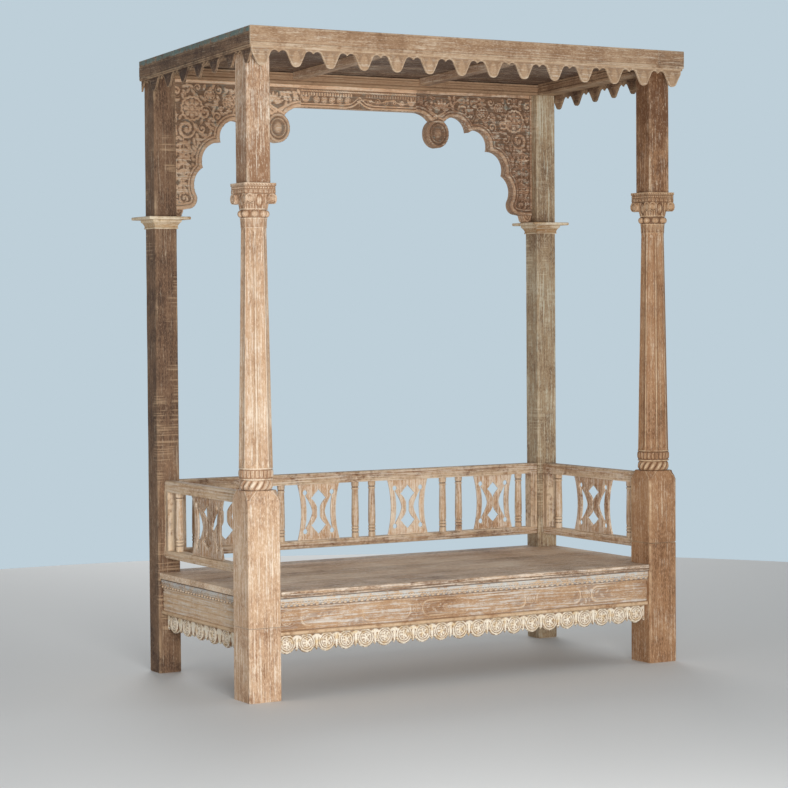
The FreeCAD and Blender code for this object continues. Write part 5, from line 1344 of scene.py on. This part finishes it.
def open_runs(loop, keep):
    """The stretches of an outline whose points are kept, each in order."""
    count = len(loop)
    kept = [bool(keep(spot)) for spot in loop]
    start = next((i for i in range(count) if not kept[i]), 0)
    runs, run = [], []
    for i in range(count + 1):
        k = (start + i) % count
        if kept[k] and i < count:
            run.append(loop[k])
        elif run:
            runs.append(np.array(run))
            run = []
    return [run for run in runs if len(run) > 1]


# The arch between the back posts

# Flowers as (x, z, radius, petals) and scrolls as (x, z, radius, turns, hand) on the right bracket

DISC_CENTRE = (381.0, 2187.0)
DISC_HALF = (54.0, 61.0)
ARCH_FLOWERS = ((767, 2252, 52, 8), (689, 2306, 24, 6), (603, 2283, 30, 7))
ARCH_CURLS = ((711, 2237, 28, 1.4, 1), (792, 2170, 40, 1.7, -1), (500, 2290, 30, 1.5, -1),
              (805, 1891, 25, 1.4, 1), (655, 2222, 20, 1.3, -1), (548, 2262, 18, 1.2, 1),
              (836, 2318, 24, 1.4, -1), (832, 2100, 20, 1.3, 1), (648, 2330, 17, 1.2, 1),
              (742, 2335, 16, 1.2, -1), (724, 2172, 17, 1.2, 1))


def bracket_relief(sign, edge):
    """Flowers, scrolls and leaves on a sunk ground, with a double border along the cusps."""
    def relief(spots, rim):
        spots = spots * (sign, 1)
        carving = Carving(spots, -7.0)
        everything = np.arange(len(spots))
        for x, z, radius, petals in ARCH_FLOWERS:
            carving.rosette((x, z), radius, petals, -0.3)
        for x, z, radius, turns, hand in ARCH_CURLS:
            carving.spiral((x, z), radius, turns, -0.8, hand, 0.2)
        for i in range(7):
            lean = math.radians(20 + i * 23.5)
            carving.leaf((402 + 8 * math.cos(lean), 2284 + 8 * math.sin(lean)), lean, 46, 17, -0.6)
        for i, z in enumerate(np.arange(2118, 1905, -27)):
            for hand in (-1, 1):
                carving.leaf((806, z), math.radians(-90 + hand * (48 + 6 * (i % 2))), 40, 17, -0.8,
                             hand * 0.18)
        carving.line([(806, z) for z in (2136, 1908)], 3.2, -0.8)
        small_leaves(carving, np.random.default_rng(11 if sign > 0 else 12))
        carving.strip(1, 2353, 2380, -0.4)
        carving.strip(0, 849, 870, -0.8)
        grooves = np.exp(-((spots[:, 1] - 2351) / 2.0) ** 2) + np.exp(-((spots[:, 0] - 847.5) / 1.8) ** 2)
        carving.height = np.where(grooves > 0.3, np.minimum(carving.height, -5.5), carving.height)
        far = nearest_line([run * (sign, 1) for run in edge], spots, False)
        carving.height[far < 30] = carving.ground
        carving.roll(everything, far - 8.0, 9.2, -0.2)
        carving.roll(everything, far - 23.5, 5.2, -1.4)
        disc = ringed_disc(carving, spots)
        height, hollow, worn = carving.result(0.0)
        worn[disc] *= 0.35
        hollow[disc] = np.clip(0.55 - height[disc] * 0.12, 0.25, 1)
        return height, hollow, worn
    return relief


def small_leaves(carving, source):
    """Small leaves where the larger work leaves the ground free, each leaning round its nearest neighbour."""
    taken = [(x, z, r) for x, z, r, _ in ARCH_FLOWERS] + [(x, z, r) for x, z, r, _, _ in ARCH_CURLS]
    taken += [(402, 2300, 44), (806, 2010, 10), (806, 2100, 10), (806, 1950, 10)]
    for x in np.arange(290, 860, 19.0):
        for z in np.arange(1860, 2352, 17.0):
            spot = np.array((x, z)) + source.uniform(-6, 6, 2)
            swing = source.uniform(-0.5, 0.5)
            if any(math.hypot(spot[0] - a, spot[1] - b) < r + 3 for a, b, r in taken):
                continue
            near = min(taken, key=lambda disc: math.hypot(*(spot - disc[:2])) - disc[2])
            lean = math.atan2(spot[1] - near[1], spot[0] - near[0]) + 1.1 + swing
            base = spot - 10 * np.array((math.cos(lean), math.sin(lean)))
            carving.leaf(base, lean, 29, 15, -1.2, swing * 0.5, 2)


def ringed_disc(carving, spots):
    """A disc of rings with two crossed ribbons above it; gives back which points lie on the disc."""
    everything = np.arange(len(spots))
    off = (spots - np.array(DISC_CENTRE)) / np.array(DISC_HALF)
    disc = np.hypot(off[:, 0], off[:, 1]) < 1.0
    carving.height[disc] = -3.5
    for middle, half, top in ((0.88, 0.125, 3.6), (0.62, 0.075, 1.6)):
        shifted = np.hypot(off[:, 0], off[:, 1] - 0.05 * (0.9 - middle))
        carving.roll(everything, shifted - middle, half, top)
    carving.roll(everything, np.hypot(off[:, 0] * 1.15, off[:, 1] - 0.03), 0.46, 3.2)
    for a, b in ((351, 419), (411, 343)):
        path = [(a + (b - a) * smooth(t, 0, 1), 2238 + 50 * t) for t in np.linspace(0, 1, 9)]
        carving.line(path, 5.0, -0.2)
    return disc


def frieze_relief(spots, rim):
    """Two rolls that rise in the middle, a rope and bars above, flowers on the left, scrolls on the right."""
    carving = Carving(spots, -6.0)
    everything = np.arange(len(spots))
    x, z = spots[:, 0], spots[:, 1]
    away = np.abs(x)
    rise = 34 * np.exp(-(away / 26.0) ** 1.4)
    for middle, half, top in ((2280.5, 4.8, -0.2), (2291.5, 4.0, -1.0)):
        carving.roll(everything, z - middle - rise * (middle > 2285) - 0.75 * rise * (middle < 2285), half,
                     top)
    carving.strip(1, 2352, 2380, -0.4)
    stripe = 0.5 + 0.5 * np.cos(TURN * (x + (z - 2344) * 0.9) / 11)
    rope = np.sqrt(np.clip(1 - ((z - 2344) / 4.6) ** 2, 0, 1))
    carving.lift(everything, rope * (0.5 + 0.5 * stripe), -0.8)
    left = x < -12
    bars = (0.5 + 0.5 * np.cos(TURN * x / 12.5)) ** 0.5 * ((z > 2325) & (z < 2337) & (away > 30))
    carving.lift(everything, bars * np.where(left, 0.95, 0.5), -0.8)
    for i in range(5):
        carving.rosette((-56 - i * 36.5, 2309), 14.5, 6, -0.6)
        carving.spiral((52 + i * 38, 2309), 13.5, 1.5, -1.2, 1 if i % 2 else -1)
    wave = 2310 + 6 * np.sin(x / 19.0)
    carving.roll(everything[~left], (z - wave)[~left], 3.2, -1.4)
    for side in (-1, 1):
        for lean in (55, 90, 125):
            carving.leaf((side * 252, 2296), math.radians(lean), 38, 15, -0.6)
    return carving.result(0.0)


def arch():
    for side, sign in SIDES.items():
        low, high = room(f"arch_{side}_bracket")
        loops = face_loops(f"arch_{side}_bracket", 1, high[1])[:1]
        outline = finer(loops[0], 3.0)
        edge = open_runs(outline, lambda spot: spot[1] < 2362 and 276.5 < abs(spot[0]) < 855)
        shape = Shape()
        # The left bracket's high tone is painted light and the right bracket's low tone painted shade,
        # matching how light fell on the two.
        carved_board(shape, [trimmed(loops[0], sign)], 1, low[1] + 4, high[1], -1, bracket_relief(sign, edge),
                     3.0, tone=0.66 if sign < 0 else 0.22)
        piece(f"arch_{side}_bracket_carved", shape, finish("arch", 0, "green"), [f"arch_{side}_bracket"])
        low, high = room(f"arch_{side}_frieze")
        start, stop = low[0] + 0.3, high[0] - 0.3
        loop = np.array([(start, low[2]), (stop, low[2]), (stop, BACK_POST_TOP), (start, BACK_POST_TOP)])
        shape = Shape()
        carved_board(shape, [loop], 1, low[1], high[1], -1, frieze_relief, 2.6, soft=0.5)
        piece(f"arch_{side}_frieze_carved", shape, finish("arch", 0, "green"), [f"arch_{side}_frieze"])
        corbel(side, sign)


def trimmed(loop, sign):
    """The bracket's outline without the tongues that sit in the beam and the post."""
    kept = loop.copy()
    kept[:, 1] = np.minimum(kept[:, 1], BACK_POST_TOP)
    kept[:, 0] = sign * np.minimum(np.abs(kept[:, 0]), BACK_INNER)
    return spaced(kept)


def corbel(side, sign):
    low, high = room(f"arch_{side}_corbel")
    loop = face_loops(f"arch_{side}_corbel", 1, high[1])[0]

    def relief(spots, rim):
        carving = Carving(spots * (sign, 1), -5.0)
        carving.line([(816, 1850), (814, 1838), (821, 1826), (835, 1821), (846, 1828), (849, 1843),
                      (849, 1852)], 3.6, -0.3)
        carving.line([(826, 1850), (826, 1839), (834, 1833), (840, 1840), (840, 1852)], 2.8, -0.8)
        carving.strip(1, low[2], low[2] + 4, -0.5)
        return carving.result(0.0)

    shape = carved_board(Shape(), [loop], 1, low[1], high[1], -1, relief, 2.4)
    piece(f"arch_{side}_corbel_carved", shape, finish("arch", 2), [f"arch_{side}_corbel"])


# Aprons under the seat

APRON_FACE = -439.5
APRON_REAR = -409.5
APRON_HALF = 838.0
SIDE_APRON_FACE = 935.0
SIDE_APRON_RUN = (-325.5, 379.5)
BACK_APRON = (433.5, 463.5)
MEDALLION_FACE = -421.5
SIDE_MEDALLION_FACE = 917.0


def rounded_box(gap, half_long, half_tall, corner):
    """Distance to the outline of a box with round corners."""
    a = np.abs(gap[:, 0]) - (half_long - corner)
    b = np.abs(gap[:, 1]) - (half_tall - corner)
    outside = np.hypot(np.maximum(a, 0), np.maximum(b, 0))
    return outside + np.minimum(np.maximum(a, b), 0) - corner


def front_apron_relief(spots, rim):
    """Long round-ended frames between flowers on a ground of small leaves, worn away in patches."""
    carving = Carving(spots, -3.2)
    bottom, top = 253.0, 343.0
    middle = (bottom + top) / 2
    source = np.random.default_rng(21)
    carving.strip(1, 230, bottom, -0.2)
    carving.strip(1, top, 390, -0.2)
    carving.line([(-838, bottom + 5), (838, bottom + 5)], 3.6, -0.8)
    carving.line([(-838, top - 5), (838, top - 5)], 3.6, -0.8)
    carving.rosette((-806, middle + 2), 28, 8, 0.0)
    period, first = 262.0, -640.0
    for i in range(6):
        x = first + i * period
        picked, gap = carving.near((x, middle), 112)
        carving.roll(picked, rounded_box(gap, 104, 29, 27), 4.6, 0.0)
        carving.roll(picked, rounded_box(gap, 95, 20, 19), 2.8, -1.6)
        for step in range(-3, 4):
            lean = 0.5 if step % 2 else -0.5
            carving.leaf((x + step * 25 - 12, middle), lean, 27, 12, -0.8, lean * 0.3)
        carving.rosette((x, middle), 15, 6, 0.0, ring=False)
        flower = x + period / 2
        if flower < 800:
            carving.rosette((flower, middle + 3), 19, 6, 0.0)
            for lean in range(30, 360, 60):
                way = math.radians(lean)
                carving.leaf((flower + 19 * math.cos(way), middle + 3 + 19 * math.sin(way)), way, 19, 11,
                             -1.0)
    for x in np.arange(-828, 836, 16.5):
        for z in np.arange(bottom + 12, top - 8, 15.0):
            spot = np.array((x, z)) + source.uniform(-4, 4, 2)
            place = (spot[0] - first + period / 2) % period - period / 2
            if rounded_box(np.array([[place, spot[1] - middle]]), 104, 29, 27)[0] < 9:
                continue
            by_flower = abs(abs(place) - period / 2) < 24 and abs(spot[1] - middle) < 24
            if by_flower or math.hypot(spot[0] + 806, spot[1] - middle) < 34:
                continue
            carving.leaf(spot, source.uniform(0, TURN), 19, 10, -1.6, source.uniform(-0.4, 0.4), 2)
    height, hollow, worn = carving.result(0.0)
    flat = np.stack([spots[:, 0], spots[:, 1] * 2, spots[:, 0] * 0], axis=1)
    kept = 0.18 + 0.82 * smooth(ripple(flat, 31), 0.44, 0.60)
    kept = np.where((spots[:, 1] > bottom + 9) & (spots[:, 1] < top - 9), kept, 1.0)
    return -0.9 + (height + 0.9) * kept, hollow * kept, worn * kept * 0.8


def grooved(face, away, bottom, top, rear, grooves):
    """A board's section with V grooves along its outer face."""
    depth, half = 3.0, 4.0
    points = [(face, bottom, 0.7)]
    for level in grooves:
        points += [(face, level - half, 0.5), (face - away * depth, level, 0.0), (face, level + half, 0.6)]
    return points + [(face, top, 0.3), (rear, top, 0.2), (rear, bottom, 0.6)]


def aprons():
    low, high = APRON_LOW + 0.5, 378.8
    loop = np.array([(-APRON_HALF, low), (APRON_HALF, low), (APRON_HALF, high), (-APRON_HALF, high)])
    shape = carved_board(Shape(), [loop], 1, APRON_FACE, APRON_REAR, -1, front_apron_relief, 3.3)
    piece("front_apron_carved", shape, finish("apron", 0), ["front_apron"])
    for side, sign in SIDES.items():
        section = grooved(sign * SIDE_APRON_FACE, sign, APRON_LOW, APRON_HIGH, sign * POST_X,
                          (262, 286, 310, 332))
        shape = swept(Shape(), section, 1, *SIDE_APRON_RUN, seed=160 + sign, tone=0.75)
        piece(f"{side}_apron_worn", shape, finish("apron", 1), [f"{side}_apron"])
    section = grooved(BACK_APRON[1], 1, APRON_LOW, APRON_HIGH, BACK_APRON[0], (262, 310, 356))
    shape = swept(Shape(), section, 0, -BACK_INNER, BACK_INNER, seed=165, tone=0.4)
    piece("back_apron_worn", shape, finish("roof", 0), ["back_apron"])


# The aprons' outer faces at the front, left and right: axis, face, the way it looks, start and end

RUNS = ((0, APRON_FACE, -1, -APRON_HALF, APRON_HALF), (1, -SIDE_APRON_FACE, -1, *SIDE_APRON_RUN),
        (1, SIDE_APRON_FACE, 1, *SIDE_APRON_RUN))


def strips_and_rolls():
    strip, roll = Shape(), Shape()
    beads, turns, darts, dart_turns = [], [], [], []
    for axis, face, away, start, end in RUNS:
        def at(depth, level, worn, hollow=0.0):
            return face + away * depth, level, worn, hollow
        # Hollow marks on the recess behind the beads, the groove above the darts and the top edge under the
        # seat's overhang paint a shadow there: painted shade, darker than the wood itself.
        section = [at(0, 343, 0, 1), at(4, 343, 0, 1), at(4, 346, 0, 1), at(4, 348.5, 0, 0.3),
                   at(4, 352, 0, 0.1), at(9.2, 352.6, 0.6, 0.1), at(10, 353.8, 0.7),
                   at(10, 358, 0.4), at(8.6, 359.2, 0.0, 0.7), at(8.6, 360.6, 0.0, 0.7), at(10, 362, 0.6),
                   at(10, 368, 0.1), at(10, 374, 0.2), at(8.4, 375.2, 0, 0.8), at(6, 376.4, 0, 1),
                   at(6, 379, 0, 1), at(0, 379, 0, 1)]
        swept(strip, section, axis, start, end, seed=170 + axis, along=50, dip=0.4)
        bulge = [at(0, 237, 0.1)]
        bulge += [at(8 * math.cos(t) ** 0.8, 245 + 8 * math.sin(t), 0.9 * math.cos(t))
                  for t in np.linspace(-1.45, 1.45, 9)]
        swept(roll, bulge + [at(0, 253, 0.1)], axis, start, end, seed=175 + axis, along=50, dip=0.5)
        count = round((end - start) / 24)
        pitch = (end - start) / count
        for i in range(count):
            along = start + (i + 0.5) * pitch
            for kept, where, spin, depth, level in ((beads, along, turns, 6.6, 348.3),
                                                    (darts, along - pitch / 4, dart_turns, 9.3, 358.0),
                                                    (darts, along + pitch / 4, dart_turns, 9.3, 358.0)):
                across = face + away * depth
                kept.append((where, across, level) if axis == 0 else (across, where, level))
                spin.append((0, 0, 0 if axis == 0 else math.pi / 2))
    painted = finish("apron", 0, "blue")
    piece("apron_strips_worn", strip, painted, ["apron_bead_strips"])
    copies("apron_strip_beads", ball(4.6, rows=7, around=12, worn_top=0.9), beads, painted,
           ["apron_bead_strips"], turns, [(1.6, 1.12, 1.15)] * len(beads), 0.10, 5)
    copies("apron_strip_darts", ball(2.0, rows=6, around=8), darts, painted, ["apron_bead_strips"],
           dart_turns, [(1.5, 0.4, 2.9)] * len(darts), 0.15, 6)
    piece("apron_rolls_worn", roll, finish("tan", 0), ["apron_roll_mouldings"])


def medallion_relief(first, pitch, count):
    """A row of ringed flowers with leaves hanging between them."""
    def relief(spots, rim):
        carving = Carving(spots, -3.0)
        level = 202.0
        for i in range(count):
            x = first + (i + 0.5) * pitch
            picked, gap = carving.near((x, level), 36)
            far = np.hypot(gap[:, 0], gap[:, 1])
            carving.roll(picked, far - 30.5, 3.6, 1.2)
            carving.roll(picked, far - 22.5, 2.8, 0.6)
            carving.rosette((x, level), 18.5, 8, 1.2, ring=False)
        for i in range(count + 1):
            x = first + i * pitch
            spread = pitch - 62
            carving.leaf((x, 236), -math.pi / 2, 62, max(13, spread * 0.62), 0.8)
            for hand in (-1, 1):
                carving.leaf((x + hand * 3, 232), -math.pi / 2 + hand * 0.7, 30 + spread * 0.2,
                             9 + spread * 0.15, 0.4, hand * 0.2)
        carving.strip(1, 233, 260, 0.8)
        height, hollow, worn = carving.result(1.2)
        across = (spots[:, 0] - first) % pitch - pitch / 2
        far, way = np.hypot(across, spots[:, 1] - level), np.arctan2(spots[:, 1] - level, across)
        flower = np.exp(-((far - 10.5) / 4.5) ** 2) * smooth(np.cos(way * 5), 0.2, 0.8)
        cut = np.clip(flower + np.exp(-((far - 26.5) / 1.8) ** 2), 0, 1)
        return height - 1.2 * cut, np.maximum(hollow, cut), worn * (1 - 0.8 * cut)
    return relief


def lower_valances():
    loop = lowered(face_loops("front_lower_valance", 1, MEDALLION_FACE)[0])
    shape = carved_board(Shape(), [loop], 1, MEDALLION_FACE, APRON_REAR, -1,
                         medallion_relief(-APRON_HALF, 83.8, 20), 3.0)
    piece("front_medallions_carved", shape, finish("pale", 0, "cream"), ["front_lower_valance"])
    for side, sign in SIDES.items():
        outer = sign * SIDE_MEDALLION_FACE
        loop = lowered(face_loops(f"{side}_lower_valance", 0, outer)[0])
        shape = carved_board(Shape(), [loop], 0, outer, sign * POST_X, sign,
                             medallion_relief(SIDE_APRON_RUN[0], 117.5, 6), 3.0)
        piece(f"{side}_medallions_carved", shape, finish("pale", 1, "cream"), [f"{side}_lower_valance"])


def lowered(loop):
    """An outline cut off at the apron's lower edge."""
    kept = loop.copy()
    kept[:, 1] = np.minimum(kept[:, 1], APRON_LOW)
    return spaced(kept)


# Rail frames

# Each frame's axis, the middle of its thickness, and its centre and half length along that axis

FRAMES = (("back", 0, 413.5, 0.0, BACK_INNER), ("left", 1, -902.0, 27.0, 352.5),
          ("right", 1, 902.0, 27.0, 352.5))
RAIL_TONES = {"back": 0.44, "left": 0.82, "right": 0.55}
PANEL_PITCH = 427.5


def rail_section(middle, bottom, top, rounded_top):
    """A rail with its two outer edges worked as beads."""
    half, corner = 23.0, 8.0
    points = [(-half, bottom, 0.7), (half, bottom, 0.7)]
    for hand in (1, -1):
        run = [(half, top - 15, 0.3), (half - 1.9, top - 12.6, 0.0), (half, top - 10.4, 0.5)]
        run += [(half - corner + corner * math.cos(t), top - corner + corner * math.sin(t),
                 0.9 * math.sin(2 * t))
                for t in np.linspace(0.1, math.pi / 2, 5)]
        run = [(hand * a, z, w) for a, z, w in run]
        points += run if hand > 0 else run[::-1]
    if not rounded_top:
        points = [(a, bottom + top - z, w) for a, z, w in points]
    return [(middle + a, z, w) for a, z, w in points]


def upright(shape, section, low, high, seed):
    """A standing bar drawn up from a section of (x, y, worn) points."""
    section = np.asarray(section, float)
    levels = steps_between(low, high, 50.0, 3.0)
    centre = section[:, :2].mean(axis=0)
    rings = np.zeros((len(levels), len(section), 3))
    rings[:, :, :2] = section[:, :2]
    rings[:, :, 2] = levels[:, None]
    pull = 0.6 * ripple(rings.reshape(-1, 3), seed).reshape(rings.shape[:2])
    rings[:, :, :2] += np.sign(centre - rings[:, :, :2]) * pull[:, :, None]
    return skin(shape, rings, np.tile(section[:, 2], (len(levels), 1)), 0.0, 0.5)


def stile_section(axis, middle, outer, hand):
    """A stile between the rails with a bead up its outer edge on both faces."""
    run = [(0, -23, 0.9), (7, -23, 0.8), (9.4, -21.2, 0.0), (11.8, -23, 0.6), (31, -23, 0.8), (32, -22, 0.9)]
    run = run + [(a, -b, w) for a, b, w in run[::-1]]
    made = [(outer - hand * a, middle + b, w) for a, b, w in run]
    return made if axis == 0 else [(b, a, w) for a, b, w in made]


def baluster_unit():
    """A turned baluster with two rings below its shaft and one above."""
    shares = [(0.94, -0.02, 0.4), (0.94, 0.0, 0.5), (0.94, 0.08, 0.8), (0.80, 0.10, 0.1)]
    for middle, half, small, large in ((0.128, 0.023, 0.82, 1.0), (0.181, 0.023, 0.82, 1.0)):
        shares += [(small + (large - small) * math.sin(t), middle - half * math.cos(t), math.sin(t))
                   for t in np.linspace(0, math.pi, 7)]
    shares += [(0.88, 0.215, 0.2), (0.96, 0.25, 0.3), (0.98, 0.32, 0.25), (0.97, 0.42, 0.2),
               (0.94, 0.55, 0.2), (0.90, 0.68, 0.2), (0.86, 0.80, 0.2), (0.82, 0.862, 0.2)]
    shares += [(0.80 + 0.19 * math.sin(t), 0.886 - 0.02 * math.cos(t), math.sin(t))
               for t in np.linspace(0, math.pi, 6)]
    shares += [(0.82, 0.915, 0.1), (0.98, 0.935, 0.8), (0.98, 1.0, 0.4), (0.98, 1.02, 0.4)]
    turns = np.linspace(0, TURN, 28, endpoint=False)
    rings = np.array([round_ring(0, 0, turns, 15.9 * r, RAIL_OPENING * z) for r, z, _ in shares])
    worn = np.repeat([[w * 0.8] for _, _, w in shares], len(turns), axis=1)
    cuts = [[0.8 if r <= 0.845 and w < 0.15 and not 0.22 < z < 0.87 else 0.0] for r, z, w in shares]
    return skin(Shape(), rings, worn, np.repeat(cuts, len(turns), axis=1), 0.72)


FRET_CENTRE = ((0.07, 0.0), (0.09, 0.003), (0.13, 0.024), (0.17, 0.056), (0.21, 0.098), (0.245, 0.142),
               (0.262, 0.112), (0.285, 0.088), (0.315, 0.062), (0.335, 0.032))


def fret_holes(centre, level, width, tall, slit, tip):
    """A panel's holes: two diamonds joined by a slit, and up each side a crescent between two round holes."""
    right = [(slit, 0.0)] + [(slit + width * out, tall * up) for up, out in FRET_CENTRE] + [(0.0, tall * tip)]
    half = right + [(-a, b) for a, b in right[-2::-1]]
    loops = [np.array(half + [(a, -b) for a, b in half[-2:0:-1]])]
    radius, end, ends = 10.5, 0.292, 0.345
    for hand in (-1, 1):
        run = []
        for v in np.linspace(-end, end, 17):
            run.append((width * (0.29 + 0.04 * (v / end) ** 2), tall * v))
        for turn in np.radians(np.linspace(-62, 242, 13)):
            run.append((width * 0.322 + radius * math.cos(turn), tall * ends + radius * math.sin(turn)))
        for v in np.linspace(end, -end, 17):
            run.append((width * (0.145 + 0.165 * abs(v / end) ** 1.5), tall * v))
        for turn in np.radians(np.linspace(118, 422, 13)):
            run.append((width * 0.322 + radius * math.cos(turn), -tall * ends + radius * math.sin(turn)))
        loops.append(np.array(run) * (hand, 1))
    return [loop + (centre, level) for loop in loops]


def fret_relief(spots, rim):
    height = -1.4 * smooth(-rim, -5.0, 0.0)
    line = np.exp(-((rim - 6.5) / 1.6) ** 2)
    height = height - 1.3 * line
    return height, line * 0.6, smooth(-rim, -4.0, -0.5) * 0.8


def centre_of(loop):
    """How far along its rail a panel's middle stands."""
    return (loop[:, 0].min() + loop[:, 0].max()) / 2


def frames():
    for name, axis, middle, centre, half in FRAMES:
        other = 1 - axis
        for level, (bottom, top) in (("top", TOP_RAIL), ("bottom", LOW_RAIL)):
            shape = swept(Shape(), rail_section(middle, bottom, top, level == "top"), axis, centre - half,
                          centre + half, seed=len(name) + len(level), dip=0.6, tone=RAIL_TONES[name])
            piece(f"{name}_rail_{level}_worn", shape, finish("rail", axis), [f"{name}_rail_{level}"])
        shape = Shape()
        for hand in (-1, 1):
            upright(shape, stile_section(axis, middle, centre + hand * half, hand), LOW_RAIL[1] - 2,
                    TOP_RAIL[0] + 2, seed=180 + hand)
        piece(f"{name}_rail_stiles_worn", shape, finish("rail", 2), [f"{name}_rail_stiles"])
        loops = face_loops(f"{name}_fret_panels", other, middle - 12.5)
        panels = [loop for loop in loops if loop[:, 1].min() < 500 and loop[:, 1].max() > 720]
        shape = Shape()
        for i, panel in enumerate(panels):
            low, high = panel.min(axis=0), panel.max(axis=0)
            slit, tip = (8.0, 0.40) if axis == 0 and centre_of(panel) < 400 else (1.6, 0.37)
            centre_spot, width = (low + high) / 2, high[0] - low[0]
            holes = fret_holes(*centre_spot, width, RAIL_OPENING, slit, tip)
            carved_board(shape, [panel] + holes, other, middle - 5, middle + 5, -1, fret_relief, 4.0,
                         soft=0.9, both=True, tone=0.45 + 0.08 * i)
        piece(f"{name}_fret_panels_carved", shape, finish("fret", 2), [f"{name}_fret_panels"])
        if axis == 0:
            along = [(i - 1) * PANEL_PITCH + hand * 40 for i in range(3) for hand in (-1, 1)] + [-773, 773]
            places = [(x, middle, LOW_RAIL[1]) for x in along]
        else:
            places = [(middle, centre + hand * 262, LOW_RAIL[1]) for hand in (-1, 1)]
        copies(f"{name}_balusters_turned", baluster_unit(), places, finish("rail", 2), [f"{name}_balusters"],
               turns=[(0, 0, i * 1.3) for i in range(len(places))], unevenness=0.015,
               seed=9)


# Column capitals

def capital(side, x, y, wood):
    """A fluted bell with an oval boss on each face, a block of leaves, a slab and eight corner scrolls."""
    shape = Shape()
    turns = np.linspace(0, TURN, 272, endpoint=False)
    local = (turns + math.pi / 4) % (math.pi / 2) - math.pi / 4

    def bell(turns, level):
        t = (level - CAPITAL_LOW) / (BELL_TOP - CAPITAL_LOW)
        half = 49 + 4 * t ** 1.6
        across = np.tan(local) * half
        flute = np.abs(np.cos(across / 13 * math.pi)) ** 0.7
        oval = np.hypot(across / 12, (level - 1842) / 20)
        boss = -2.8 + 3.0 * np.sqrt(np.clip(1 - oval ** 2, 0, 1))
        boss = boss - 0.9 * np.exp(-(across / 1.8) ** 2) * (oval < 0.8)
        height = np.maximum(np.where(oval < 1.3, -2.8, -2.8 + 2.4 * flute), boss)
        if t < 0.07 or t > 0.93:
            height = np.zeros(len(turns))
        return (polygon_reach(turns, half, 28.7 - 14.7 * t) + height, np.clip(-height / 3, 0, 1),
                np.clip(1 + height / 1.4, 0, 1) * 0.8)

    lofted(shape, x, y, turns, np.linspace(CAPITAL_LOW, BELL_TOP, 26), bell)

    def leafy_block(turns, level):
        t = (level - LEAVES_LOW) / (SLAB_LOW - LEAVES_LOW)
        across = np.tan(local) * 64.0
        height = np.full(len(turns), -0.3)
        for low, high, pitch in ((0.06, 0.56, 21.0), (0.62, 0.94, 10.5)):
            if low < t < high:
                u = (t - low) / (high - low)
                lobe = np.abs(np.cos(across / pitch * math.pi)) ** 0.7 * math.sin(math.pi * u) ** 0.5
                vein = np.exp(-((across / pitch - np.round(across / pitch)) / 0.1) ** 2) * (pitch > 12)
                height = -3.2 + 3.4 * lobe - 1.3 * vein * lobe
        return (polygon_reach(turns, 64.2, 7) + height, np.clip(-height / 3.0, 0, 1) * 0.9,
                np.clip(1 + height, 0, 1) * 0.7)

    lofted(shape, x, y, turns, np.linspace(LEAVES_LOW, SLAB_LOW, 17), leafy_block)

    def slab(turns, level):
        t = (level - SLAB_LOW) / (CAPITAL_TOP - SLAB_LOW)
        across = np.tan(local) * 65
        up = level - (SLAB_LOW + CAPITAL_TOP) / 2
        twist = np.abs(np.cos((across + up * 0.8) / 12 * math.pi)) ** 0.8
        height = -1.6 + 1.6 * twist if 0.22 < t < 0.72 else -0.3 * np.ones(len(turns))
        height = np.where((np.abs(t - 0.19) < 0.04) | (np.abs(t - 0.75) < 0.04), -1.8, height)
        return (polygon_reach(turns, 65, 6) + height, np.clip(-height / 2, 0, 1) * 0.8,
                np.clip(1 + height, 0, 1) * 0.7)

    lofted(shape, x, y, turns, np.linspace(SLAB_LOW, CAPITAL_TOP, 11), slab)
    piece(f"front_{side}_capital_carved", shape, wood, [f"front_{side}_capital"])
    places, spins = [], []
    for quarter in range(4):
        way = quarter * math.pi / 2
        for hand in (-1, 1):
            a, b = hand * 45.2, -48.2
            across, deep = a * math.cos(way) - b * math.sin(way), a * math.sin(way) + b * math.cos(way)
            places.append((x + across, y + deep, 1850.0))
            spins.append((0, 0, way))
    copies(f"front_{side}_capital_scrolls", scroll_unit(), places, wood, [f"front_{side}_capital"],
           spins, unevenness=0.02, seed=4)


def scroll_unit():
    """A short roll along Y with a spiral cut in its ends."""
    radius, half = 19.5, 16.0
    turns = np.linspace(0, TURN, 36, endpoint=False)
    spread = [0.04, 0.2, 0.36, 0.5, 0.62, 0.74, 0.84, 0.92, 0.98]
    profile = [(s, -1) for s in spread] + [(1.0, -0.86), (0.97, -0.5), (1.0, 0.0), (0.97, 0.5), (1.0, 0.86)]
    profile += [(s, 1) for s in spread[::-1]]
    rings, worn, hollow = [], [], []
    for share, place in profile:
        ring = np.stack([radius * share * np.cos(turns), np.full(len(turns), half * place),
                         radius * share * np.sin(turns)], axis=1)
        deep = np.zeros(len(turns))
        if abs(place) == 1 and 0.1 < share < 0.9:
            phase = share * 2.2 - turns / TURN
            deep = 1 - np.clip(np.abs(phase - np.round(phase)) / 0.3, 0, 1)
            ring[:, 1] -= place * deep * 4.0
        rings.append(ring)
        worn.append(1 - deep if share > 0.5 else 0.5 - 0.5 * deep)
        hollow.append(deep)
    return skin(Shape(), np.array(rings), np.array(worn) * 0.3, np.array(hollow), 0.5)


# All pieces

seat()
roof()
canopy_beams()
fascias()
valances()
back_posts()
front_posts()
arch()
aprons()
strips_and_rolls()
lower_valances()
frames()
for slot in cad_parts["pegs"].material_slots:
    slot.material = finish("brown", 1)
